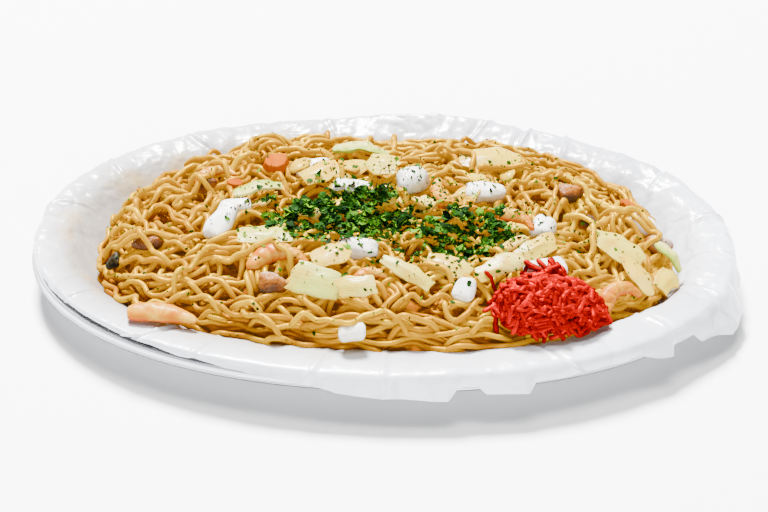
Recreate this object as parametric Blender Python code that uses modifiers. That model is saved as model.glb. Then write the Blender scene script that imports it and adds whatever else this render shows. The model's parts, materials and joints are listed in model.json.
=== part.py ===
"""Seafood yakisoba heaped on an oval platter that is lined with thin film.

Metres, +Z up. The long side of the platter lies along X, the diner sits at -Y,
and the origin is the middle of the platter's flat foot.
"""

import math

import bmesh
import bpy
from mathutils import Matrix, Vector, noise
from mathutils.bvhtree import BVHTree

MM = 0.001

# ---- driving dimensions ------------------------------------------------------
PLATTER_LENGTH = 0.364
PLATTER_WIDTH = 0.252
OVAL_POWER = 2.15         # 2 would be a plain ellipse, more is squarer
PLATTER_GAUGE = 0.9 * MM
FILM_GAUGE = 0.5 * MM
GAP = 0.35 * MM           # between pieces that touch
SEGMENTS = 48             # steps round the platter, the film and the heap

HEAP_TOP = 0.045          # top of the noodles above the foot
HEAP_STEEPNESS = 5.0      # more keeps the top flatter and the flanks steeper
STRAND = 3.3 * MM         # thickness of one noodle

# The platter's underside, from the foot out to the edge: inset from the edge, height.
PLATTER_PROFILE = (
    (50.0 * MM, 0.0 * MM),
    (42.0 * MM, 1.5 * MM),
    (31.0 * MM, 9.0 * MM),
    (20.5 * MM, 19.5 * MM),
    (14.5 * MM, 23.6 * MM),
    (5.0 * MM, 25.2 * MM),
    (2.6 * MM, 23.8 * MM),
    (2.0 * MM, 18.8 * MM),
    (0.6 * MM, 18.1 * MM),
)

# Lumps of the noodle heap: x, y, half width, height added, all in millimetres.
HEAP_LUMPS = (
    (-112, 56, 34, -5.0),
    (-70, 72, 22, 6.5),
    (-44, 76, 26, -1.5),
    (8, 72, 34, -5.0),
    (66, 74, 30, 3.0),
    (100, 66, 24, 7.0),
    (130, 40, 26, 5.0),
    (148, 2, 16, 2.0),
)

# Tongues of film over the edge: angle and half angle in degrees, then drop and flare in mm.
FILM_TONGUES = (
    (-101, 20, 5.5, 0.6),
    (-68, 8, 5.0, 1.0),
    (-38, 8, 4.0, 1.6),
    (-17, 11, 11.0, 4.2),
    (62, 12, 3.0, 0.6),
    (158, 14, 2.5, 0.6),
)

# ---- colours and finishes ------------------------------------------------------
FINISHES = {
    "steel": ((0.62, 0.63, 0.65), 0.25, 1.0),
    "film": ((0.90, 0.91, 0.93), 0.35, 0.0),
    "noodle": ((0.86, 0.55, 0.12), 0.45, 0.0),
    "squid": ((0.90, 0.87, 0.80), 0.40, 0.0),
    "onion": ((0.80, 0.78, 0.48), 0.30, 0.0),
    "shrimp": ((0.90, 0.48, 0.22), 0.38, 0.0),
    "clam": ((0.70, 0.38, 0.20), 0.40, 0.0),
    "carrot": ((0.88, 0.30, 0.03), 0.40, 0.0),
    "cabbage": ((0.60, 0.68, 0.22), 0.40, 0.0),
    "mushroom": ((0.06, 0.05, 0.03), 0.35, 0.0),
    "greens": ((0.05, 0.22, 0.03), 0.50, 0.0),
    "ginger": ((0.80, 0.03, 0.03), 0.35, 0.0),
}


def clear_scene():
    for old in list(bpy.data.objects):
        bpy.data.objects.remove(old, do_unlink=True)


def finish_of(name):
    """The Principled material of one finish, made once."""
    found = bpy.data.materials.get(name)
    if found:
        return found
    colour, roughness, metallic = FINISHES[name]
    material = bpy.data.materials.new(name)
    material.use_nodes = True
    shader = material.node_tree.nodes["Principled BSDF"]
    shader.inputs["Base Color"].default_value = (*colour, 1.0)
    shader.inputs["Roughness"].default_value = roughness
    shader.inputs["Metallic"].default_value = metallic
    return material


def new_object(name, mesh, finish, collection):
    made = bpy.data.objects.new(name, mesh)
    made.data.materials.append(finish_of(finish))
    collection.objects.link(made)
    return made


def mesh_from(shape, name):
    """Turns a bmesh into a mesh and frees it."""
    mesh = bpy.data.meshes.new(name)
    shape.to_mesh(mesh)
    shape.free()
    mesh.shade_smooth()
    mesh.set_sharp_from_angle(angle=math.radians(40))
    return mesh


def add_modifier(made, kind, **settings):
    modifier = made.modifiers.new(kind.title(), kind)
    for key, value in settings.items():
        setattr(modifier, key, value)
    return modifier


# ---- the oval and what is measured on it ------------------------------------
def signed_power(value, power):
    return math.copysign(abs(value) ** power, value)


def oval(angle, inset, power=OVAL_POWER, half=(PLATTER_LENGTH / 2, PLATTER_WIDTH / 2)):
    """The point of the oval at this angle, that far in from its edge."""
    return (
        (half[0] - inset) * signed_power(math.cos(angle), 2 / power),
        (half[1] - inset) * signed_power(math.sin(angle), 2 / power),
    )


def angle_at(x, y, power=OVAL_POWER):
    """The angle that oval() would need to pass through this place."""
    up = signed_power(2 * y / PLATTER_WIDTH, power / 2)
    across = signed_power(2 * x / PLATTER_LENGTH, power / 2)
    return math.atan2(up, across)


def turn_of(step):
    return 2 * math.pi * step / SEGMENTS


def bump(angle, centre, half):
    """1 at the centre angle, smoothly down to 0 at half degrees to either side."""
    away = math.degrees(math.atan2(math.sin(angle - centre), math.cos(angle - centre)))
    return math.cos(min(abs(away) / half, 1.0) * math.pi / 2) ** 2


def front_share(angle):
    """1 along the diner's side of the platter and 0 elsewhere."""
    return bump(angle, math.radians(-90), 92)


def offset_profile(profile, distance):
    """The profile moved squarely off its own line, to the side that carries the food."""
    moved = []
    for k, (inset, z) in enumerate(profile):
        before = profile[max(k - 1, 0)]
        after = profile[min(k + 1, len(profile) - 1)]
        normals = []
        for (a, low), (b, high) in ((before, (inset, z)), ((inset, z), after)):
            along = Vector((a - b, high - low))
            if along.length > 0:
                normals.append(Vector((-along.y, along.x)).normalized())
        middle = sum(normals, Vector((0.0, 0.0))).normalized()
        reach = distance / max(middle.dot(normals[0]), 0.5)
        moved.append((inset - middle.x * reach, z + middle.y * reach))
    return moved


def film_rings(angle):
    """The film's upper side from the foot to its hanging edge: inset and height."""
    front = front_share(angle)
    lift = 4.5 * MM * bump(angle, math.radians(82), 22)
    tuck = bump(angle, math.radians(-42), 24)
    rise = PLATTER_GAUGE + GAP + FILM_GAUGE
    foot, well, slope, shoulder, crest, brow, lip = offset_profile(PLATTER_PROFILE, rise)[:7]
    drop = 0.0
    flare = 0.0
    for centre, half, length, out in FILM_TONGUES:
        share = bump(angle, math.radians(centre), half)
        drop += length * MM * share
        flare += out * MM * share
    end = 21.0 * MM - drop
    past = min(1.0, drop / (0.8 * MM))
    return [
        foot,
        well,
        (slope[0] + 0.4 * MM, slope[1] + (0.5 + 2.2 * front) * MM),
        (
            shoulder[0] + (0.5 + 2.2 * front + 3.0 * tuck) * MM,
            shoulder[1] + (0.5 + 3.4 * front) * MM,
        ),
        (crest[0] + (1.6 * front + 5.0 * tuck) * MM, crest[1] + (0.4 + 1.4 * front) * MM),
        (brow[0], brow[1] + 0.3 * MM + lift),
        (lip[0] - 0.35 * flare - 0.2 * MM * past, lip[1] + 0.4 * lift),
        (lip[0] - (0.16 + 0.20 * past) * (lip[1] - end) - flare, end),
    ]


def lining_point(angle, up, clear=1.3 * GAP):
    """A place just over the film: 0 at the edge of the well, 1 at the shoulder, 2 on the crest."""
    rings = offset_profile(film_rings(angle), clear)[2:5]
    k = min(int(up), 1)
    (inset, z), (next_inset, next_z) = rings[k], rings[k + 1]
    return (inset + (next_inset - inset) * (up - k), z + (next_z - z) * (up - k))


def toe_rise(angle):
    """How far up the film the noodles reach, counted as in lining_point."""
    wave = noise.noise(Vector((math.cos(angle) * 3.1, math.sin(angle) * 3.1, 0.7)))
    ends = 0.4 * bump(angle, 0, 55) + bump(angle, math.pi, 48)
    return 0.55 + 0.12 * wave - 0.40 * ends + 1.25 * front_share(angle)


def toe_point(angle):
    """Where the outermost noodle meets the film: inset and height."""
    return lining_point(angle, toe_rise(angle))


def inset_at(x, y, power=OVAL_POWER):
    """How far in from the platter's edge a place lies."""
    low, high = -0.02, 0.12
    for _ in range(24):
        middle = (low + high) / 2
        long_half, wide_half = PLATTER_LENGTH / 2 - middle, PLATTER_WIDTH / 2 - middle
        inside = abs(x / long_half) ** power + abs(y / wide_half) ** power < 1
        low, high = (middle, high) if inside else (low, middle)
    return low


def film_height(x, y):
    """Top of the film over a place that lies inside its crest."""
    rings = film_rings(angle_at(x, y))[:5]
    inset = inset_at(x, y)
    for (inner, z0), (outer, z1) in zip(rings, rings[1:]):
        if inner >= inset >= outer:
            return z0 + (z1 - z0) * (inner - inset) / (inner - outer)
    return rings[0][1] if inset > rings[0][0] else rings[-1][1]


def heap_share(x, y):
    """0 in the middle of the heap and 1 at its toe."""
    inset = toe_point(angle_at(x, y))[0]
    long_half, wide_half = PLATTER_LENGTH / 2 - inset, PLATTER_WIDTH / 2 - inset
    reach = abs(x / long_half) ** OVAL_POWER + abs(y / wide_half) ** OVAL_POWER
    return reach ** (1 / OVAL_POWER)


def heap_height(x, y):
    """Top of the noodles over this place."""
    share = min(heap_share(x, y), 1.0)
    toe = toe_point(angle_at(x, y))[1] + 1.3 * STRAND
    fall = 1.0 - share**HEAP_STEEPNESS
    height = toe + (HEAP_TOP - toe) * fall
    fade = min(1.0, (1.0 - share) * 7.0)
    for lump_x, lump_y, half, added in HEAP_LUMPS:
        away = math.hypot(x / MM - lump_x, y / MM - lump_y) / half
        height += added * MM * math.exp(-2.0 * away * away) * fade
    ripple = noise.noise(Vector((x * 62, y * 62, 3.3)))
    return height + 1.5 * MM * ripple * fade


def heap_normal(x, y):
    step = 4 * MM
    slope_x = (heap_height(x + step, y) - heap_height(x - step, y)) / (2 * step)
    slope_y = (heap_height(x, y + step) - heap_height(x, y - step)) / (2 * step)
    return Vector((-slope_x, -slope_y, 1.0)).normalized()


# ---- lofts -----------------------------------------------------------------------
def face_out(shape):
    """Turns every face of a closed shape outwards."""
    bmesh.ops.recalc_face_normals(shape, faces=shape.faces)
    if shape.calc_volume(signed=True) < 0:
        bmesh.ops.reverse_faces(shape, faces=shape.faces)


def loft(rings, close_start=None, close_end=None):
    """Joins rings of points, one after the other. A closing point makes a fan over an end."""
    shape = bmesh.new()
    loops = [[shape.verts.new(point) for point in ring] for ring in rings]
    count = len(rings[0])
    for inner, outer in zip(loops, loops[1:]):
        for i in range(count):
            j = (i + 1) % count
            shape.faces.new((inner[i], outer[i], outer[j], inner[j]))
    for tip, loop in ((close_start, loops[0]), (close_end, loops[-1])):
        if tip is not None:
            middle = shape.verts.new(tip)
            for i in range(count):
                shape.faces.new((middle, loop[i], loop[(i + 1) % count]))
    bmesh.ops.recalc_face_normals(shape, faces=shape.faces)
    return shape


def oval_ring(insets, heights, power=OVAL_POWER):
    """One ring of points round the platter, from an inset and a height at each step."""
    ring = []
    for step in range(SEGMENTS):
        x, y = oval(turn_of(step), insets[step], power)
        ring.append((x, y, heights[step]))
    return ring


# ---- platter, film and heap ---------------------------------------------------
def build_platter(collection):
    rings = [oval_ring([inset] * SEGMENTS, [z] * SEGMENTS) for inset, z in PLATTER_PROFILE]
    shape = loft(rings, close_start=(0.0, 0.0, 0.0))
    face_down(shape)
    platter = new_object("platter", mesh_from(shape, "platter"), "steel", collection)
    add_modifier(platter, "SOLIDIFY", thickness=PLATTER_GAUGE, offset=-1.0, use_even_offset=True)
    return platter


def face_down(shape, upside=False):
    """Turns an open dish so that its faces look down, or up."""
    shape.faces.ensure_lookup_table()
    lowest = min(shape.faces, key=lambda face: face.calc_center_median().length)
    if (lowest.normal.z > 0) != upside:
        bmesh.ops.reverse_faces(shape, faces=shape.faces)


def build_film(collection):
    by_step = [film_rings(turn_of(step)) for step in range(SEGMENTS)]
    rings = []
    for k in range(len(by_step[0])):
        rings.append(oval_ring([r[k][0] for r in by_step], [r[k][1] for r in by_step]))
    shape = loft(rings, close_start=(0.0, 0.0, by_step[0][0][1]))
    face_down(shape, upside=True)
    film = new_object("liner_film", mesh_from(shape, "liner_film"), "film", collection)
    add_modifier(film, "SOLIDIFY", thickness=FILM_GAUGE, offset=-1.0, use_even_offset=False)
    return film


def build_noodles(collection):
    """The heap as one solid: its underside follows the film, its top is the lumpy mound."""
    angles = [turn_of(step) for step in range(SEGMENTS)]
    lining = [offset_profile(film_rings(angle), GAP) for angle in angles]
    under = [oval_ring([r[k][0] for r in lining], [r[k][1] for r in lining]) for k in range(3)]
    toe = [toe_point(angle) for angle in angles]
    for ring in ([lining_point(a, min(0.9 * toe_rise(a), 1.0)) for a in angles], toe):
        under.append(oval_ring([inset for inset, z in ring], [z for inset, z in ring]))
    top = []
    for share in (1.0, 0.965, 0.91, 0.83, 0.72, 0.58, 0.42, 0.22):
        ring = []
        for step, angle in enumerate(angles):
            x, y = oval(angle, toe[step][0])
            x, y = x * share, y * share
            z = heap_height(x, y)
            if share == 1.0:
                z = toe[step][1] + STRAND
            ring.append((x, y, z))
        top.append(ring)
    shape = loft(
        under + top,
        close_start=(0.0, 0.0, lining[0][0][1]),
        close_end=(0.0, 0.0, heap_height(0.0, 0.0)),
    )
    face_out(shape)
    return new_object("noodles", mesh_from(shape, "noodles"), "noodle", collection)


# ---- shapes of the toppings, each about its own middle, in metres -----------------
def block_shape(length, width, height, round_off=0.28, pinch=0.12):
    """A chunk with rounded edges that narrows a little to one end, as cut squid does."""
    shape = bmesh.new()
    bmesh.ops.create_cube(shape, size=1.0)
    for v in shape.verts:
        narrow = 1.0 - pinch * (0.5 + v.co.x)
        v.co = Vector((v.co.x * length, v.co.y * width * narrow, v.co.z * height))
    edges = list(shape.edges)
    width_cut = round_off * min(length, width, height)
    bmesh.ops.bevel(
        shape, geom=edges, offset=width_cut, segments=1, profile=0.5, affect="EDGES"
    )
    return shape


def petal_shape(length, width, thick, curl, taper=0.45, point=0.0):
    """A curved slice, as a petal of onion: wide in the middle, arched across its width."""
    shape = bmesh.new()
    bmesh.ops.create_grid(shape, x_segments=4, y_segments=2, size=0.5)
    for v in shape.verts:
        along, across = 2 * v.co.x, 2 * v.co.y
        ease = 1.0 - taper * along * along - point * 0.5 * (along + 1.0)
        radius = width * 0.5 / max(math.sin(curl), 0.05)
        angle = across * ease * curl
        lift = radius * (math.cos(angle) - 1.0) - 0.16 * curl * length * along * along
        v.co = Vector((along * length / 2, radius * math.sin(angle), lift))
    return thicken(shape, thick)


def thicken(shape, thick):
    """Closes an open sheet into a plate of this thickness."""
    bmesh.ops.recalc_face_normals(shape, faces=shape.faces)
    shape.faces.ensure_lookup_table()
    if shape.faces[0].normal.z < 0:
        bmesh.ops.reverse_faces(shape, faces=shape.faces)
    bmesh.ops.solidify(shape, geom=list(shape.faces), thickness=thick)
    bmesh.ops.recalc_face_normals(shape, faces=shape.faces)
    return shape


def shrimp_shape(length, width, height, curl):
    """A curled body: thick behind the head, thin at the tail, deeper than it is wide."""
    sections, sides = 8, 6
    rings = []
    span = math.radians(curl)
    radius = length / span
    for k in range(sections):
        t = k / (sections - 1)
        girth = math.sin(math.pi * (0.16 + 0.74 * t)) ** 0.7 * (1.0 - 0.35 * t)
        middle = span * (t - 0.5)
        ring = []
        for i in range(sides):
            a = 2 * math.pi * i / sides
            out = radius + 0.5 * width * girth * math.cos(a)
            ring.append(
                (
                    out * math.sin(middle),
                    out * math.cos(middle) - radius * math.cos(span * 0.33),
                    0.5 * height * girth * math.sin(a),
                )
            )
        rings.append(ring)
    start = [sum(p[i] for p in rings[0]) / sides for i in range(3)]
    end = [sum(p[i] for p in rings[-1]) / sides for i in range(3)]
    return loft(rings, close_start=start, close_end=end)


def clam_shape(length, width, height, frill=0.16):
    """Shelled clam meat: a plump belly with a frilled edge along one side."""
    shape = bmesh.new()
    bmesh.ops.create_uvsphere(shape, u_segments=9, v_segments=6, radius=0.5)
    for v in shape.verts:
        around = math.atan2(v.co.y, v.co.x)
        edge = 1.0 - (2 * v.co.z) ** 2
        wave = 1.0 + frill * edge * math.sin(3 * around + 0.6)
        siphon = 1.0 + 0.35 * max(0.0, math.cos(around)) ** 4 * edge
        v.co = Vector(
            (v.co.x * length * wave * siphon, v.co.y * width * wave, v.co.z * height)
        )
    return shape


def slice_shape(length, width, thick):
    """A cut piece of carrot: an eight-sided slab with chamfered faces."""
    shape = bmesh.new()
    bmesh.ops.create_cone(
        shape, cap_ends=True, segments=8, radius1=0.5, radius2=0.42, depth=1.0
    )
    for v in shape.verts:
        v.co = Vector((v.co.x * length, v.co.y * width, v.co.z * thick))
    return shape


def strip_shape(length, width, thick, wave):
    """A strip of cabbage that undulates along its length."""
    shape = bmesh.new()
    bmesh.ops.create_grid(shape, x_segments=7, y_segments=1, size=0.5)
    for v in shape.verts:
        along = 2 * v.co.x
        swing = wave * math.sin(2.2 * along)
        v.co = Vector(
            (
                along * length / 2,
                2 * v.co.y * width / 2 * (1.0 - 0.35 * along * along) + 0.12 * length * swing,
                0.08 * length * math.cos(2.6 * along),
            )
        )
    return thicken(shape, thick)


def mound_shape(place, length, width, height, ragged, turn, steps=22, seed=0.0):
    """A drift of shreds draped over the heap: an uneven outline, thin at its edge.

    The shape is drawn about its own place on top of the noodles.
    """
    middle = heap_height(*place)
    rings = []
    for share, level in ((0.86, -0.9), (1.0, 0.1), (0.84, 0.45), (0.58, 0.80), (0.28, 0.97)):
        ring = []
        for i in range(steps):
            a = 2 * math.pi * i / steps
            spot = Vector((math.cos(a) * 2.2, math.sin(a) * 2.2, seed + share))
            reach = share * (1.0 + ragged * noise.noise(spot) * (1.6 - share))
            rough = 1.0 + 0.9 * ragged * noise.noise(spot * 1.7 + Vector((5, 1, 0)))
            across = 0.5 * length * reach * math.cos(a)
            along = 0.5 * width * reach * math.sin(a)
            x = place[0] + across * math.cos(turn) - along * math.sin(turn)
            y = place[1] + across * math.sin(turn) + along * math.cos(turn)
            rise = height * level * rough if level > 0 else 3.0 * MM * level
            lowest = film_height(x, y) + 1.2 * MM + (0.6 * MM if level > 0 else 0.0)
            z = max(heap_height(x, y) + rise, lowest)
            ring.append((x - place[0], y - place[1], z - middle))
        rings.append(ring)
    return loft(rings, close_start=(0, 0, -3.2 * MM), close_end=(0, 0, height))


# ---- the toppings -----------------------------------------------------------------
# Each row places one piece: x, y, turn on the heap's slope, lean towards the diner, then
# its sizes, and last how deep it is pressed into the noodles. Millimetres and degrees.
SQUID = (
    # x, y, turn, lean, length, width, height, sunk
    (15, 16, 28, 8, 17, 15, 13, 3.0),
    (53, 11, 6, 10, 21, 12, 10, 3.5),
    (-74, -9, 8, 10, 16, 10, 8, 2.5),
    (-79, -29, 64, 26, 22, 12, 8, 2.0),
    (82, -24, 74, 20, 15, 13, 10, 2.5),
    (134, 3, -10, 10, 15, 11, 9, 3.0),
    (-9, -49, -4, 20, 20, 12, 10, 3.0),
    (-8, -103, 4, 10, 13, 9, 8, 2.0),
    (-38, 29, 10, 8, 20, 12, 9, 3.0),
    (-16, 11, -4, 6, 20, 11, 8, 2.5),
    (44, -77, 76, 26, 13, 10, 7, 2.0),
    (83, -57, 20, 14, 20, 13, 9, 2.5),
)
ONION = (
    # x, y, turn, lean, length, width, thickness, curl in radians, taper, point, sunk
    (-27, -79, -18, 26, 25, 19, 2.4, 0.34, 0.10, 0.24, 0.6),
    (-7, -85, 8, 22, 19, 12, 2.2, 0.45, 0.24, 0.0, 0.6),
    (-33, 17, 26, 12, 21, 16, 2.4, 0.60, 0.35, 0.1, 1.2),
    (-16, 30, 38, 10, 17, 14, 2.4, 0.60, 0.40, 0.1, 1.2),
    (-1, 21, -24, 14, 18, 15, 2.4, 0.55, 0.30, 0.1, 1.2),
    (55, 44, 12, 12, 33, 18, 2.6, 0.60, 0.42, 0.1, 1.0),
    (45, 26, -6, 8, 15, 11, 2.2, 0.60, 0.40, 0.0, 1.0),
    (119, -29, -22, 14, 29, 18, 2.4, 0.45, 0.46, 0.1, 0.6),
    (78, -43, 30, 18, 22, 14, 2.6, 0.70, 0.30, 0.0, 1.0),
    (60, -64, 32, 18, 26, 12, 2.6, 0.75, 0.34, 0.1, 1.0),
    (128, -46, -48, 12, 24, 11, 2.4, 0.55, 0.36, 0.2, 0.6),
    (143, -36, 66, 8, 16, 13, 2.2, 0.40, 0.20, 0.0, 0.6),
    (-56, -37, 4, 6, 30, 15, 2.4, 0.45, 0.40, 0.1, 1.0),
    (-21, -62, 28, 16, 20, 15, 2.4, 0.60, 0.36, 0.1, 1.0),
    (36, -61, -22, 18, 22, 15, 2.6, 0.60, 0.36, 0.2, 1.0),
    (16, -71, -30, 22, 31, 10, 2.6, 0.85, 0.50, 0.0, 0.8),
)
SHRIMP = (
    # x, y, turn, lean, length along the back, width, height, curl in degrees, sunk
    (-47, -58, 6, 16, 38, 13, 12, 150, 3.5),
    (-101, -87, -8, 14, 36, 15, 10, 40, 2.5),
    (32, 6, 118, 10, 30, 12, 11, 135, 3.5),
    (69, -27, -20, 10, 24, 10, 9, 110, 3.0),
    (119, -61, 42, 14, 32, 12, 11, 165, 3.5),
    (-1, -69, 16, 18, 22, 9, 8, 150, 2.5),
    (-89, 24, 12, 16, 28, 9, 8, 150, 2.0),
)
CLAM = (
    # x, y, turn, lean, length, width, height, sunk
    (-115, -34, 176, 10, 16, 12, 9, 2.5),
    (-49, -75, -20, 16, 15, 13, 10, 3.0),
    (95, 15, 24, 10, 17, 13, 10, 3.0),
    (141, -9, 26, 8, 16, 12, 10, 3.0),
    (-93, 13, 4, 6, 12, 9, 8, 2.0),
    (105, -12, -30, 8, 13, 9, 8, 2.0),
)
CARROT = (
    # x, y, turn, lean, length, width, thickness, sunk
    (-58, 33, 14, 22, 15, 13, 5.0, 1.2),
    (-78, 14, -8, 12, 10, 6, 3.5, 0.8),
    (127, 19, -24, 14, 11, 6, 3.5, 0.8),
)
CABBAGE = (
    # x, y, turn, lean, length, width, thickness, wave, sunk
    (-64, 1, 10, 10, 26, 7, 1.8, 0.5, 0.2),
    (-14, 51, 8, 10, 31, 8, 1.8, -0.5, 0.2),
    (145, -21, -42, 6, 19, 7, 1.8, 0.4, 0.0),
)
MUSHROOM = ((-133, -39, 58, 14, 10, 8, 5, 1.2),)
GREENS = (
    # x, y, turn, length, width, height, raggedness
    (-20, -16, -5, 76, 42, 5.4, 0.40),
    (44, -29, 8, 42, 36, 5.0, 0.40),
)
GINGER = (86, -80, 10, 56, 31, 17, 0.26)


def as_object(name, shape, finish, collection, x, y, turn, lean, sunk):
    """Sets a topping down on the heap, square to its slope, and pressed in."""
    face_out(shape)
    made = new_object(name, mesh_from(shape, name), finish, collection)
    normal = heap_normal(x * MM, y * MM)
    upright = normal.lerp(Vector((0, 0, 1)), 0.15).normalized()
    spin = Matrix.Rotation(math.radians(turn), 4, "Z")
    tilt = Matrix.Rotation(math.radians(lean), 4, "X")
    pose = square_to(upright) @ tilt @ spin
    foot = Vector((x * MM, y * MM, heap_height(x * MM, y * MM)))
    low = min((pose @ v.co).dot(upright) for v in made.data.vertices)
    made.location = foot - upright * (low + sunk * MM)
    made.rotation_euler = pose.to_euler()
    return made


def square_to(normal):
    """Turns +Z onto the normal by the shortest way, so that a turn keeps its meaning."""
    return Vector((0, 0, 1)).rotation_difference(normal).to_matrix().to_4x4()


def placed_shape(made, swell=0.0):
    """The piece's own shape where it lies, swollen outwards."""
    shape = bmesh.new()
    shape.from_mesh(made.data)
    shape.transform(Matrix.LocRotScale(made.location, made.rotation_euler, None))
    shape.normal_update()
    for v, normal in [(v, v.normal.copy()) for v in shape.verts]:
        v.co += normal * swell
    return shape


def tree_of(made, swell=0.0):
    """The piece as a search tree, swollen outwards."""
    shape = placed_shape(made, swell)
    tree = BVHTree.FromBMesh(shape)
    shape.free()
    return tree


def lift_clear(made, others, most=12 * MM):
    """Raises a piece in small steps until it rests on its neighbours and not in them."""
    trees = [tree_of(other, swell=GAP) for other in others]
    step = 0.25 * MM
    raised = 0.0
    while raised < most:
        mine = tree_of(made, swell=0.2 * MM)
        if not any(mine.overlap(tree) for tree in trees):
            return raised
        made.location.z += step
        raised += step
    return raised


def near(made, others, reach=34 * MM):
    """The neighbours of a piece, by the distance between their places."""
    return [other for other in others if (other.location - made.location).length < reach]


def build_toppings(collection, film):
    """Every piece of seafood and vegetable, in the order in which they lie on each other."""
    placed = []

    def add(kind, number, shape, place):
        name = f"{kind}_{number:02d}"
        made = as_object(name, shape, kind, collection, *place)
        lift_clear(made, near(made, placed) + [film])
        placed.append(made)

    for n, (*place, length, width, height, sunk) in enumerate(SQUID, 1):
        shape = block_shape(length * MM, width * MM, height * MM)
        add("squid", n, shape, (*place, sunk))
    for n, (*place, length, width, height, curl, sunk) in enumerate(SHRIMP, 1):
        shape = shrimp_shape(length * MM, width * MM, height * MM, curl)
        add("shrimp", n, shape, (*place, sunk))
    for n, (*place, length, width, height, sunk) in enumerate(CLAM, 1):
        shape = clam_shape(length * MM, width * MM, height * MM)
        add("clam", n, shape, (*place, sunk))
    for n, (*place, length, width, thick, sunk) in enumerate(CARROT, 1):
        shape = slice_shape(length * MM, width * MM, thick * MM)
        add("carrot", n, shape, (*place, sunk))
    for n, (*place, length, width, thick, curl, taper, point, sunk) in enumerate(ONION, 1):
        shape = petal_shape(length * MM, width * MM, thick * MM, curl, taper, point)
        add("onion", n, shape, (*place, sunk))
    for n, (*place, length, width, thick, wave, sunk) in enumerate(CABBAGE, 1):
        shape = strip_shape(length * MM, width * MM, thick * MM, wave)
        add("cabbage", n, shape, (*place, sunk))
    for n, (*place, length, width, height, sunk) in enumerate(MUSHROOM, 1):
        shape = clam_shape(length * MM, width * MM, height * MM, frill=0.24)
        add("mushroom", n, shape, (*place, sunk))
    return placed


def seat_of(made, cutters, hull=True):
    """The hollow that a piece presses into what lies under it, a gap larger all round."""
    found = bpy.data.objects.get(made.name + "_seat")
    if found:
        return found
    shape = placed_shape(made, swell=GAP * 1.25)
    if hull:
        wrapped = bmesh.ops.convex_hull(shape, input=shape.verts)
        inside = wrapped["geom_interior"] + wrapped["geom_unused"]
        bmesh.ops.delete(shape, geom=list(set(inside)), context="VERTS")
        keep = {face for face in wrapped["geom"] if isinstance(face, bmesh.types.BMFace)}
        spare = [face for face in shape.faces if face not in keep]
        bmesh.ops.delete(shape, geom=spare, context="FACES")
        face_out(shape)
    mesh = mesh_from(shape, made.name + "_seat")
    cutter = bpy.data.objects.new(made.name + "_seat", mesh)
    cutter.hide_render = True
    cutter.display_type = "WIRE"
    cutters.objects.link(cutter)
    return cutter


def cut_seats(target, cutters):
    """Takes each cutter out of the target, one after the other, and keeps one clean mesh."""
    for cutter in cutters:
        add_modifier(target, "BOOLEAN", operation="DIFFERENCE", object=cutter)


def build_mounds(collection, cutters, placed):
    """The two drifts of chopped greens and the heap of red ginger."""
    rows = [("red_ginger", "ginger", GINGER, 26, 2.0)]
    rows += [(f"chopped_greens_{n:02d}", "greens", row, 22, 5.0 * n) for n, row in enumerate(GREENS, 1)]
    made = []
    for name, finish, (x, y, turn, length, width, height, ragged), steps, seed in rows:
        shape = mound_shape(
            (x * MM, y * MM),
            length * MM,
            width * MM,
            height * MM,
            ragged,
            math.radians(turn),
            steps,
            seed,
        )
        face_out(shape)
        mound = new_object(name, mesh_from(shape, name), finish, collection)
        mound.location = (x * MM, y * MM, heap_height(x * MM, y * MM))
        cut_seats(mound, [seat_of(piece, cutters) for piece in near(mound, placed, 0.06)])
        made.append(mound)
    return made


def main():
    clear_scene()
    model = bpy.data.collections.new("yakisoba")
    cutters = bpy.data.collections.new("cutters")
    for collection in (model, cutters):
        bpy.context.scene.collection.children.link(collection)
    cutters.hide_render = True
    build_platter(model)
    film = build_film(model)
    noodles = build_noodles(model)
    placed = build_toppings(model, film)
    mounds = build_mounds(model, cutters, placed)
    seats = [seat_of(mound, cutters, hull=False) for mound in mounds]
    cut_seats(noodles, [seat_of(piece, cutters) for piece in placed] + seats)


main()
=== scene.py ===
# Seafood yakisoba on an oval platter lined with thin film.
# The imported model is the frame; this script dresses it and lights it.
import json
import math

import bmesh
import bpy
import numpy as np
from mathutils import Matrix, Vector, noise
from mathutils.bvhtree import BVHTree

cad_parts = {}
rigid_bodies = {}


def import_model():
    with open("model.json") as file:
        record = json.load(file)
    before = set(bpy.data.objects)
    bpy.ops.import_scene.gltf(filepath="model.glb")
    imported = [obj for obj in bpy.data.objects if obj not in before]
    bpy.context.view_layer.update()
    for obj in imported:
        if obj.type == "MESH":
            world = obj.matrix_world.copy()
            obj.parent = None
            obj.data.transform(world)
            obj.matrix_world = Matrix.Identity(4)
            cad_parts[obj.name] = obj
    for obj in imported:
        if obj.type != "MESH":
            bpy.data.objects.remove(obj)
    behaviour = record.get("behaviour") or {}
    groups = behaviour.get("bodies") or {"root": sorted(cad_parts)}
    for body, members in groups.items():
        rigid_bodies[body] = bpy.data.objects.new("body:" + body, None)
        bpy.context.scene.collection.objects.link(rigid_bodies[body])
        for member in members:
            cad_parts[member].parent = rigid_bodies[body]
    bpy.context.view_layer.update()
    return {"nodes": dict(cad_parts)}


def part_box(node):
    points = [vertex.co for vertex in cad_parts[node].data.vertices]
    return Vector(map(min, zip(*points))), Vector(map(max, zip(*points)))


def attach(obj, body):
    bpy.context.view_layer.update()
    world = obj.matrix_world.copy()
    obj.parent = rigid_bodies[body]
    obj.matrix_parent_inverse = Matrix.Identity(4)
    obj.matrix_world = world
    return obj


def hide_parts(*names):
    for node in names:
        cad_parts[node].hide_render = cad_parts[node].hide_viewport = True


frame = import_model()
nodes = frame["nodes"]
print("frame loaded:", len(nodes), "nodes")


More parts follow.
